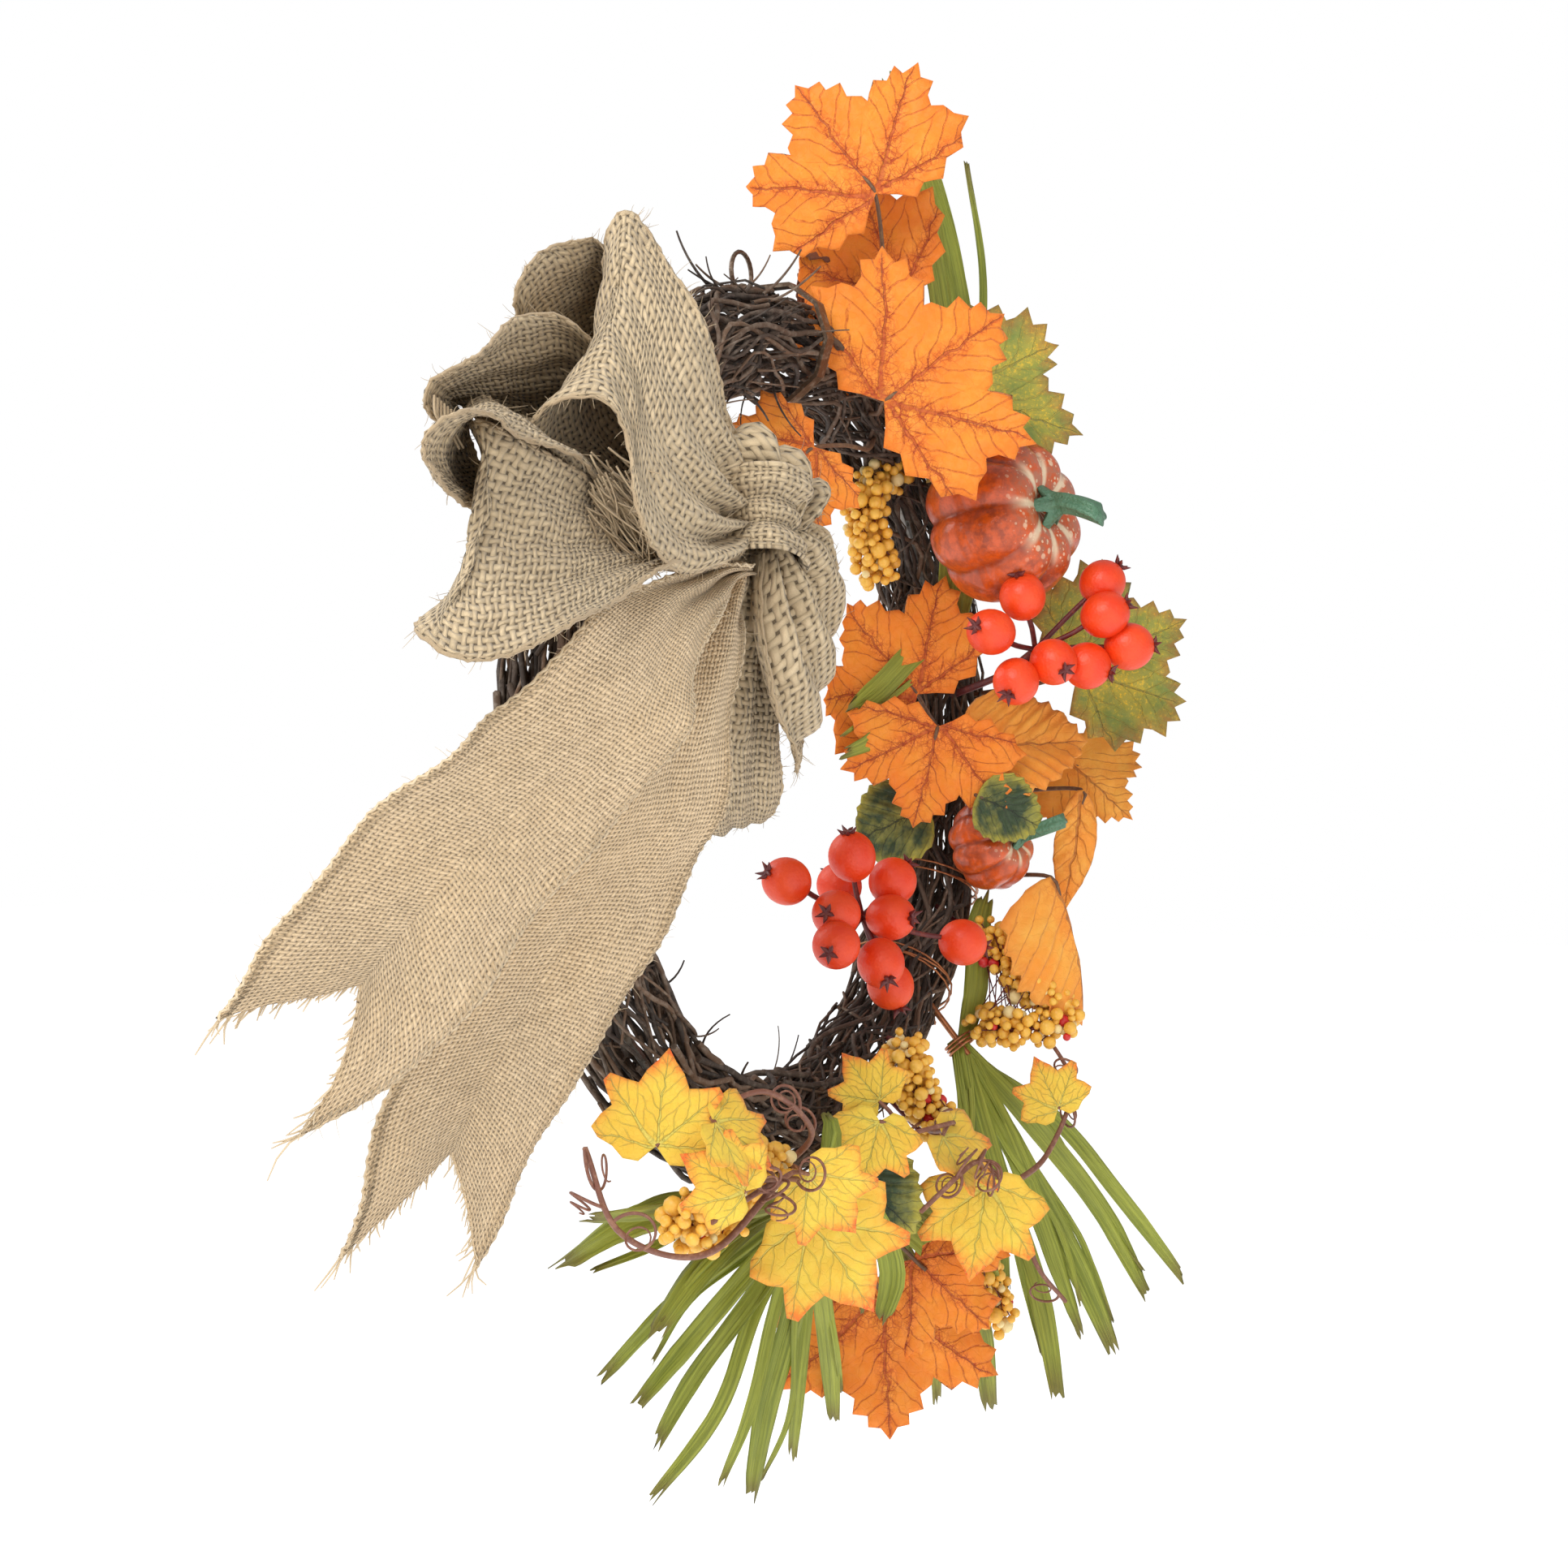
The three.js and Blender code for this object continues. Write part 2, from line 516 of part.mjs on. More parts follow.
const BERRY_SPRAYS = {
  berry_spray_upper: {
    hub: [84, -60, 32],
    foot: [[100, -40, 24], [124, -10, 18]],
    berries: [[72, -60, 50], [58, -54, 37], [98, -80, 56], [90, -84, 44], [98, -90, 33], [88, -78, 26],
      [76, -70, 27], [66, -60, 20]],
  },
  berry_spray_lower: {
    hub: [42, -12, -62],
    foot: [[60, -10, -72], [84, -6, -88]],
    berries: [[12, 2, -49], [34, -12, -41], [50, -20, -50], [52, 2, -52], [18, -14, -60], [10, -18, -70],
      [40, -24, -62], [28, -26, -77], [44, -22, -86], [70, -38, -72]],
  },
};

/** A foam-bead spray, solid as a string of lumps along its wire. */
function beadSpray({ lumps, foot, size = 8 }) {
  const solids = lumps.map((centre, i) => ball(centre, size * (i % 2 ? 1 : 0.88)));
  return join([rod([...lumps.slice().reverse(), ...foot], 1.4), ...solids]);
}

const BEAD_SPRAYS = {
  bead_spray_inner: {
    lumps: [[78, -8, 100], [66, -6, 92], [60, -4, 82], [64, -4, 72], [70, -4, 62]],
    foot: [[90, -6, 96], [104, -4, 84]],
    size: 8.5,
  },
  bead_spray_right: {
    lumps: [[112, -30, -72], [110, -38, -82], [112, -48, -92], [118, -58, -102], [106, -44, -106],
      [104, -30, -104]],
    foot: [[116, -16, -68], [118, -6, -62]],
  },
  bead_spray_lower_right: {
    lumps: [[44, -28, -108], [46, -30, -120], [54, -32, -130], [62, -36, -138]],
    foot: [[56, -16, -106], [68, -6, -108]],
  },
  bead_spray_bottom_right: {
    lumps: [[66, -40, -156], [70, -42, -168], [74, -40, -180], [80, -42, -192], [84, -46, -206]],
    foot: [[66, -26, -142], [66, -8, -126]],
  },
  bead_spray_bottom: {
    lumps: [[-56, -30, -136], [-68, -28, -132], [-80, -30, -136], [-94, -32, -144], [-108, -32, -144],
      [-118, -34, -140]],
    foot: [[-56, -14, -128], [-56, -4, -122]],
    size: 9.5,
  },
};

// ---- Raffia ------------------------------------------------------------------------------------------
/** One flat blade from `from` to `to`, bowed by `bow`, its face towards the left of the wreath. */
function blade({ from, to, bow = [0, 0, 0], width = 8 }) {
  const start = vec(from);
  const end = vec(to);
  const middle = start.clone().lerp(end, 0.5).add(vec(bow));
  const curve = new THREE.CatmullRomCurve3([start, middle, end]);
  const steps = 3;
  const rows = Array.from({ length: steps + 1 }, (_, i) => {
    const side = new THREE.Vector3().crossVectors(curve.getTangent(i / steps), vec(LEFT)).normalize();
    const spread = (width / 2) * (i === 0 || i === steps ? 0.6 : 1);
    return [-1, 1].map((sign) => curve.getPoint(i / steps).addScaledVector(side, sign * spread));
  });
  return sheet(rows, BLADE_THICKNESS);
}

/** Blades that leave one binding together. */
function raffiaFan({ hub, hubSize, foot, blades }) {
  const strips = blades.map((strip) => blade({ from: hub, ...strip }));
  return join([ball(hub, hubSize), rod([hub, foot], 2.2, 5, 1), ...strips]);
}

const RAFFIA = {
  raffia_top: {
    hub: [100, -20, 36],
    hubSize: [6, 5, 12],
    foot: [118, -8, 34],
    blades: [
      { to: [66, -10, 240], bow: [8, -10, 8], width: 14 },
      { to: [86, -10, 226], bow: [10, -12, 6], width: 12 },
      { to: [100, -8, 230], bow: [6, -12, 0], width: 8 },
      { to: [128, -14, 222], bow: [0, -8, 0], width: 4 },
      { to: [110, -14, 176], bow: [2, -12, 0], width: 12 },
      { to: [62, 4, 10], width: 12 },
      { to: [58, 6, -6], width: 9 },
    ],
  },
  raffia_side: {
    hub: [104, -22, -112],
    hubSize: [6, 6, 7],
    foot: [102, -6, -92],
    blades: [
      { to: [192, -80, -211], bow: [4, -2, 8], width: 8 },
      { to: [168, -74, -216], bow: [2, -2, 6], width: 11 },
      { to: [140, -70, -230], bow: [2, -2, 0], width: 12 },
      { to: [126, -62, -222], bow: [2, -2, 0], width: 11 },
      { to: [102, -62, -240], bow: [0, -2, 0], width: 11 },
      { to: [92, -46, -202], width: 9 },
      { to: [84, -34, -186], width: 9 },
      { to: [118, -28, -54], width: 12 },
    ],
  },
  raffia_bottom: {
    hub: [-14, -24, -150],
    hubSize: [8, 7, 7],
    foot: [-12, -8, -136],
    blades: [
      { to: [-150, -20, -136], bow: [0, 0, 4], width: 9 },
      { to: [-140, -4, -154], bow: [-2, -4, 6], width: 13 },
      { to: [-104, -14, -180], bow: [-6, -2, 8], width: 11 },
      { to: [-112, 0, -193], bow: [0, 0, 4], width: 8 },
      { to: [-94, -2, -204], bow: [0, 0, 2], width: 9 },
      { to: [-84, -2, -220], width: 8 },
      { to: [-82, 0, -236], width: 7 },
      { to: [-40, 0, -244], width: 6 },
      { to: [-18, 0, -254], width: 11 },
      { to: [8, -2, -246], bow: [2, 0, 0], width: 7 },
      { to: [32, -6, -238], width: 9 },
      { to: [88, -20, -244], bow: [8, -6, 16], width: 7 },
      { to: [100, -36, -246], bow: [10, -6, 18], width: 12 },
      { to: [84, -46, -198], bow: [4, -4, 10], width: 11 },
      { to: [10, -34, -198], bow: [10, -6, 10], width: 12 },
      { to: [-14, -26, -122], bow: [-2, -4, 0], width: 9 },
    ],
  },
};

// ---- Ivy ---------------------------------------------------------------------------------------------
/** A brown vine with small leaves on it. Each leaf's stem is one short stretch of vine. */
function ivyVine({ vines, leaves }) {
  const runs = vines.map((points) => rod(points, 1.2));
  const blades = leaves.map((spec) => leaf({ outline: 'ivy', curl: 3, cup: 2, stemRadius: 1, ...spec }));
  return join([...runs, ...blades]);
}

const IVY = {
  ivy_left: {
    vines: [
      [[-38, -20, -140], [-56, -44, -139], [-90, -50, -132], [-120, -44, -140]],
      [[-38, -20, -140], [-62, -46, -122], [-92, -46, -106], [-112, -36, -112]],
      [[-90, -50, -132], [-116, -40, -150], [-146, -30, -140], [-152, -22, -116]],
    ],
    leaves: [
      { size: 27, at: [-124, -28, -119], tip: [0.1, -0.1, 1], face: LEFT, stem: [[-112, -36, -112]] },
      { size: 22, at: [-118, -44, -112], tip: [0.5, -0.5, -0.5], face: [-0.3, -0.6, 0.6], stem: [[-112, -36, -112]] },
      { size: 21, at: [-112, -50, -132], tip: [-0.4, 0.3, 0.3], face: LEFT, stem: [[-90, -50, -132]] },
      { size: 24, at: [-76, -52, -132], tip: [0.4, -0.4, -0.7], face: LEFT, stem: [[-90, -50, -132]] },
      { size: 36, at: [-60, -44, -148], tip: [0.4, -0.5, -0.95], face: LEFT, stem: [[-56, -44, -139]] },
    ],
  },
  ivy_right: {
    vines: [
      [[66, -8, -122], [50, -34, -136], [30, -52, -130], [8, -44, -132]],
      [[50, -34, -136], [42, -56, -148], [24, -62, -142], [4, -52, -156]],
      [[50, -34, -136], [74, -54, -158], [84, -60, -186], [98, -66, -202]],
      [[74, -54, -158], [100, -58, -150], [114, -62, -126], [112, -50, -104]],
    ],
    leaves: [
      { size: 19, at: [6, -36, -121], tip: [-0.35, 0.5, 0.8], face: LEFT, stem: [[8, -44, -132]] },
      { size: 22, at: [2, -38, -127], tip: [-0.2, 0.2, -0.95], face: LEFT, stem: [[8, -44, -132]] },
      { size: 26, at: [26, -50, -134], tip: [0.4, -0.6, -0.6], face: [-0.4, -0.2, 0.9], stem: [[30, -52, -130]] },
      { size: 32, at: [40, -60, -152], tip: [-0.2, 0.1, -0.98], face: LEFT, stem: [[42, -56, -148]] },
      { size: 20, at: [106, -60, -134], tip: [-0.3, 0.3, 0.9], face: LEFT, stem: [[112, -62, -130]] },
    ],
  },
};

// ---- Assembly ----------------------------------------------------------------------------------------
/** The ring and its wires, each [name, finish, solid], which clear each other as they are drawn. */
function ringPieces() {
  const bundles = Array.from({ length: SEGMENTS }, (_, i) => [`twig_bundle_${i + 1}`, 'twig', twigBundle(i)]);
  const ties = BINDING_ANGLES.map((degrees, i) => [`binding_wire_${i + 1}`, 'wire', tieBand(degrees, TIE_WIDTH)]);
  return [['wire_hoop', 'wire', wireHoop()], ...bundles, ...ties,
    ['hanger_tie', 'wire', hangerTie()], ['hanger_loop', 'wire', hangerLoop()]];
}

/** What is fastened on the ring. A piece gives way to the ring and to all that come before it. */
function trimmings() {
  const list = [];
  const add = (name, finish, solid) => list.push([name, finish, solid]);
  for (const [name, spec] of Object.entries(PUMPKINS)) {
    add(name, 'pumpkin', pumpkin(spec));
    add(`${name}_stem`, 'pumpkinStem', pumpkinStem(spec));
  }
  for (const [name, spec] of Object.entries(BERRY_SPRAYS)) add(name, 'berry', berrySpray(spec));
  add('bow_knot', 'burlap', ball(KNOT_CENTRE, KNOT_SIZE));
  for (const [name, spec] of Object.entries(TAILS)) add(name, 'ribbon', bowTail(spec));
  for (const [name, spec] of Object.entries(BOW_LOOPS)) add(name, 'burlap', bowLoop(spec));
  for (const [name, spec] of Object.entries(BEAD_SPRAYS)) add(name, 'bead', beadSpray(spec));
  for (const [name, spec] of Object.entries(RAFFIA)) add(name, 'raffia', raffiaFan(spec));
  for (const [name, spec] of Object.entries(IVY)) add(name, 'ivy', ivyVine(spec));
  for (const [name, { finish, ...spec }] of Object.entries(LEAVES)) add(name, finish, leaf(spec));
  return list;
}

const boxesMeet = (a, b) => [0, 1, 2].every((k) => a.min[k] < b.max[k] && b.min[k] < a.max[k]);

/** Copies of a solid moved a little to each side, which together clear it by that amount. */
const shifted = (solid, amount) => [0, 1, 2].flatMap((axis) => [-amount, amount].map((step) => (
  solid.translate([0, 1, 2].map((index) => (index === axis ? step : 0))))));

/** The trimmings, each cut clear of the ring and of the ones before it. Its largest part stays. */
function fitTogether(fixed, fitted) {
  const placed = [];
  const place = (solid) => {
    const swollen = swell(solid, FIT + SMALLEST_EDGE);
    placed.push({ solid, swollen, box: swollen.boundingBox() });
  };
  const placeRoom = (room) => placed.push({ solid: room, swollen: room, box: room.boundingBox() });
  const carve = (solid, cutters) => cutters.reduce((rest, cutter) => rest.subtract(cutter), solid);
  fixed.forEach(([, , solid]) => place(solid));
  return fitted.map(([name, finish, solid]) => {
    const near = placed.filter(({ box }) => boxesMeet(box, solid.boundingBox()));
    const cut = carve(solid, near.map(({ swollen }) => swollen)).simplify(SMALLEST_EDGE);
    const touching = near.filter((other) => !cut.intersect(other.solid).isEmpty());
    const clear = carve(cut, touching.flatMap((other) => shifted(other.solid, FIT)));
    const [largest] = clear.decompose().sort((a, b) => b.volume() - a.volume());
    place(largest);
    if (TAILS[name]) placeRoom(tailSweep(TAILS[name]));
    return [name, finish, largest];
  });
}

const wreath = new THREE.Group();
wreath.name = 'harvest_door_wreath';
const ring = new THREE.Group();
ring.position.set(-EYE_CENTRE[0], -EYE_CENTRE[1], -ORIGIN_HEIGHT);
wreath.add(ring);
const framework = ringPieces();
for (const [name, finish, solid] of [...framework, ...fitTogether(framework, trimmings())]) {
  const mesh = new THREE.Mesh(toGeometry(solid), new THREE.MeshStandardMaterial(FINISH[finish]));
  mesh.name = name;
  ring.add(mesh);
}

export default wreath;
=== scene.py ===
"""Harvest door wreath: a twig ring with a burlap bow, leaves, pumpkins, berries, beads and raffia.

Every size is in millimetres and every place is counted from the ring's centre: +X to the right as
seen from the room, -Y towards the room, +Z up. Pieces are put into the frame's metres when meshed.
"""

import logging
import math
import random
from dataclasses import dataclass, field
from enum import Enum
from typing import Iterable, Optional, Sequence

import bpy
from mathutils import Matrix, Vector, noise


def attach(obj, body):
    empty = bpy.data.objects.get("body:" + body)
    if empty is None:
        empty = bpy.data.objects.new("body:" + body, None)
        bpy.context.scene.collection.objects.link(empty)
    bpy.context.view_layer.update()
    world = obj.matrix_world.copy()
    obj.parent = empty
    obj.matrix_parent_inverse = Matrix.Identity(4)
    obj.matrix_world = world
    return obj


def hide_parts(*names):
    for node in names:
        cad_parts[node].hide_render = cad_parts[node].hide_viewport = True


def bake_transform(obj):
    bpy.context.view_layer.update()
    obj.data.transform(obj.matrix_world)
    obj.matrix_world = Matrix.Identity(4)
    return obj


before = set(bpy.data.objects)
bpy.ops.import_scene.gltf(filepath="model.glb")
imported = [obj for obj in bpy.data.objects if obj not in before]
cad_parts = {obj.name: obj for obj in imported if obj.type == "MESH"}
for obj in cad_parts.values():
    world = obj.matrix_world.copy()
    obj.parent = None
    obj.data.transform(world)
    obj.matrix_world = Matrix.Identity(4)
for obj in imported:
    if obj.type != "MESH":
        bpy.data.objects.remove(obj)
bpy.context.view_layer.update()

log = logging.getLogger("wreath")

Point = tuple[float, float, float]
Colour = tuple[float, float, float]
Value = bpy.types.NodeSocket | float | Colour | Vector

MM = 0.001
RING_CENTRE = Vector((0.0, -13.0, -163.7))
RING_RADIUS = 132.0
BUNDLE_RADIUS = 19.0
DOOR_REACH = 14.0
LEFTWARD: Point = (-0.86, -0.5, 0.08)
WREATH = "wreath"
TAIL_BENDS: dict[str, tuple[Point, Point]] = {"tail_left": ((-110.0, -50.0, 48.0), (-158.0, -57.0, 14.0)),
    "tail_right": ((-112.0, -50.0, 46.0), (-140.0, -50.0, 2.0)),}


# ---- Hand tools ------------------------------------------------------------------------------------
def to_frame(point: Vector) -> Vector:
    """Turn a place counted from the ring's centre, in millimetres, into the frame's metres."""
    return (point + RING_CENTRE) * MM


def vec(point: Sequence[float]) -> Vector:
    """Make a vector of three numbers."""
    return Vector(point)


def spline_point(points: Sequence[Vector], at: float) -> Vector:
    """Find a place on the smooth curve through a list of points.

    Args:
        points: The points that the curve passes.
        at: Where on the curve, from 0 at the first point to their number less 1 at the last.

    Returns:
        The place on the curve.
    """
    last = len(points) - 1
    i = min(max(int(at), 0), last - 1)
    t = at - i
    p1, p2 = points[i], points[i + 1]
    p0 = points[i - 1] if i > 0 else p1 * 2 - p2
    p3 = points[i + 2] if i + 2 <= last else p2 * 2 - p1
    return 0.5 * (2 * p1 + (p2 - p0) * t + (2 * p0 - 5 * p1 + 4 * p2 - p3) * t * t + (3 * p1 - p0 - 3 * p2
        + p3) * t ** 3)


def smooth_run(points: Sequence[Sequence[float]], step: float = 3.0) -> list[Vector]:
    """Round a list of points into a curve with points about evenly far apart.

    Args:
        points: The points that the curve passes.
        step: The distance between the points of the result.

    Returns:
        The points of the curve, its two ends included.
    """
    knots = [vec(p) for p in points]
    dense = [spline_point(knots, i / 12) for i in range(12 * (len(knots) - 1) + 1)]
    lengths = [0.0]
    for one, other in zip(dense, dense[1:]):
        lengths.append(lengths[-1] + (other - one).length)
    count = max(2, round(lengths[-1] / step) + 1)
    result, j = [], 0
    for i in range(count):
        goal = lengths[-1] * i / (count - 1)
        while j < len(lengths) - 2 and lengths[j + 1] < goal:
            j += 1
        span = max(lengths[j + 1] - lengths[j], 1e-6)
        result.append(dense[j].lerp(dense[j + 1], min(1.0, (goal - lengths[j]) / span)))
    return result


def axes(along: Sequence[float], face: Sequence[float]) -> tuple[Vector, Vector, Vector]:
    """Square up three axes from a main direction and a rough facing direction.

    Args:
        along: The direction that becomes the second axis.
        face: The direction that the third axis comes closest to.

    Returns:
        The axes, right, along and facing, each of length 1.
    """
    y = vec(along).normalized()
    z = (vec(face) - y * vec(face).dot(y)).normalized()
    return y.cross(z), y, z


def swell_noise(point: Vector, size: float, seed: float = 0.0) -> float:
    """Give a smooth random number, about -1 to 1, which changes over `size` millimetres."""
    return noise.noise(point / size + Vector((seed, seed * 0.7, -seed)))


def only(obj: bpy.types.Object) -> bpy.types.Object:
    """Select one object, and nothing else, as the one that operators act on.

    Args:
        obj: The object.

    Returns:
        The object.
    """
    bpy.ops.object.select_all(action="DESELECT")
    obj.select_set(True)
    bpy.context.view_layer.objects.active = obj
    return obj


def add_modifier(obj: bpy.types.Object, kind: str, **settings: object) -> None:
    """Add a modifier with its settings and apply it.

    Args:
        obj: The object to change.
        kind: The modifier's type.
        **settings: The modifier's properties.
    """
    only(obj)
    modifier = obj.modifiers.new(kind.lower(), kind)
    for name, value in settings.items():
        setattr(modifier, name, value)
    bpy.ops.object.modifier_apply(modifier=modifier.name)


def mesh_object(name: str, points: Sequence[Vector], faces: Sequence[Sequence[int]]) -> bpy.types.Object:
    """Make an object of points counted from the ring's centre.

    Args:
        name: The object's name.
        points: The points, in millimetres.
        faces: The faces, each a list of indices of points.

    Returns:
        The object, with smooth shading.
    """
    mesh = bpy.data.meshes.new(name)
    mesh.from_pydata([to_frame(p) for p in points], [], faces)
    obj = bpy.data.objects.new(name, mesh)
    bpy.context.scene.collection.objects.link(obj)
    mesh.shade_smooth()
    return obj


def put_uv(obj: bpy.types.Object, places: Sequence[tuple[float, float]], name: str = "lay") -> None:
    """Give each corner of a mesh the flat place of its point.

    Args:
        obj: The object to give a UV map.
        places: The flat place of each point.
        name: The map's name.
    """
    layer = obj.data.uv_layers.new(name=name)
    for loop in obj.data.loops:
        layer.data[loop.index].uv = places[loop.vertex_index]


def put_value(obj: bpy.types.Object, name: str, values: Sequence[float]) -> None:
    """Store one number on each point of a mesh, for its material to read."""
    obj.data.attributes.new(name, "FLOAT", "POINT").data.foreach_set("value", list(values))


def fuse(name: str, parts: Sequence[bpy.types.Object]) -> bpy.types.Object:
    """Join objects into one.

    Args:
        name: The joined object's name.
        parts: The objects, which have the same material slots or none.

    Returns:
        The joined object.
    """
    bpy.ops.object.select_all(action="DESELECT")
    for part in parts:
        part.select_set(True)
    bpy.context.view_layer.objects.active = parts[0]
    if len(parts) > 1:
        bpy.ops.object.join()
    parts[0].name = parts[0].data.name = name
    return parts[0]


def wires(name: str, runs: Sequence[tuple[Sequence[Vector], Sequence[float]]],
        sides: int = 6) -> bpy.types.Object:
    """Make round wires, stems or twigs along curves.

    Args:
        name: The object's name.
        runs: For each wire its points and the radius at each point.
        sides: How many sides a wire has: 4, 6 or 8.

    Returns:
        The wires as one mesh with closed ends.
    """
    curve = bpy.data.curves.new(name, "CURVE")
    curve.dimensions = "3D"
    curve.bevel_depth = MM
    curve.bevel_resolution = (sides - 4) // 2
    curve.use_fill_caps = True
    for points, radii in runs:
        spline = curve.splines.new("POLY")
        spline.points.add(len(points) - 1)
        for spot, point, radius in zip(spline.points, points, radii):
            spot.co = (*to_frame(point), 1.0)
            spot.radius = radius
    obj = bpy.data.objects.new(name, curve)
    bpy.context.scene.collection.objects.link(obj)
    only(obj)
    bpy.ops.object.convert(target="MESH")
    made = bpy.context.view_layer.objects.active
    made.data.shade_smooth()
    return made


def tapered(points: Sequence[Sequence[float]], radius: float, tip: float = 0.6,
        step: float = 3.0) -> tuple[list[Vector], list[float]]:
    """Lay out one wire along a smooth curve, thinner towards its end.

    Args:
        points: The points that the wire passes.
        radius: Its radius at the start.
        tip: Its radius at the end, as a share of the radius at the start.
        step: The distance between the points laid out.

    Returns:
        The wire's points and the radius at each.
    """
    run = smooth_run(points, step)
    return run, [radius * (1 + (tip - 1) * i / (len(run) - 1)) for i in range(len(run))]


def paint(obj: bpy.types.Object, material: bpy.types.Material) -> None:
    """Give an object one material and nothing else."""
    obj.data.materials.clear()
    obj.data.materials.append(material)


def hand_over(obj: bpy.types.Object, material: bpy.types.Material, nodes: Iterable[str] = (),
        body: str = WREATH) -> bpy.types.Object:
    """Finish a piece: paint it, hide the frame's nodes that it replaces, and let it ride on its body; a
    tail's piece instead has its place baked into its mesh.

    Args:
        obj: The piece.
        material: Its material.
        nodes: The frame's nodes that the piece replaces.
        body: The body that it moves with; a tail's piece is left unattached.

    Returns:
        The piece.
    """
    if material:
        paint(obj, material)
    if nodes:
        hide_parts(*nodes)
    if body in TAIL_BENDS:
        start, end = (to_frame(vec(place)) for place in TAIL_BENDS[body])
        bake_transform(obj)
    else:
        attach(obj, body)
    log.info("%s: %d faces", obj.name, len(obj.data.polygons))
    return obj


# ---- Material tools --------------------------------------------------------------------------------
class Num:
    """A number in a node tree that can be added, multiplied and compared like a plain one."""

    def __init__(self, graph: "Graph", socket: bpy.types.NodeSocket) -> None:
        """Wrap one socket of a graph."""
        self.graph, self.socket = graph, socket

    def _do(self, operation: str, *others: "Num | float") -> "Num":
        """Put this number and others through one Math node."""
        return self.graph.math(operation, self, *others)

    def __add__(self, other: "Num | float") -> "Num":
        """Add."""
        return self._do("ADD", other)

    def __radd__(self, other: float) -> "Num":
        """Add to a plain number."""
        return self._do("ADD", other)

    def __sub__(self, other: "Num | float") -> "Num":
        """Subtract."""
        return self._do("SUBTRACT", other)

    def __rsub__(self, other: float) -> "Num":
        """Subtract from a plain number."""
        return self.graph.math("SUBTRACT", other, self)

    def __mul__(self, other: "Num | float") -> "Num":
        """Multiply."""
        return self._do("MULTIPLY", other)

    def __rmul__(self, other: float) -> "Num":
        """Multiply a plain number."""
        return self._do("MULTIPLY", other)

    def __truediv__(self, other: "Num | float") -> "Num":
        """Divide."""
        return self._do("DIVIDE", other)

    def abs(self) -> "Num":
        """Drop the sign."""
        return self._do("ABSOLUTE")

    def floor(self) -> "Num":
        """Round down."""
        return self._do("FLOOR")

    def fract(self) -> "Num":
        """Keep what is past the whole number."""
        return self._do("FRACT")

    def cos(self) -> "Num":
        """Take the cosine."""
        return self._do("COSINE")

    def power(self, exponent: float) -> "Num":
        """Raise to a power."""
        return self._do("POWER", exponent)

    def at_most(self, other: "Num | float") -> "Num":
        """Take the smaller of two."""
        return self._do("MINIMUM", other)

    def at_least(self, other: "Num | float") -> "Num":
        """Take the larger of two."""
        return self._do("MAXIMUM", other)

    def step(self, low: float, high: float) -> "Num":
        """Ease from 0 at `low` to 1 at `high`."""
        return self.graph.ease(self, low, high)


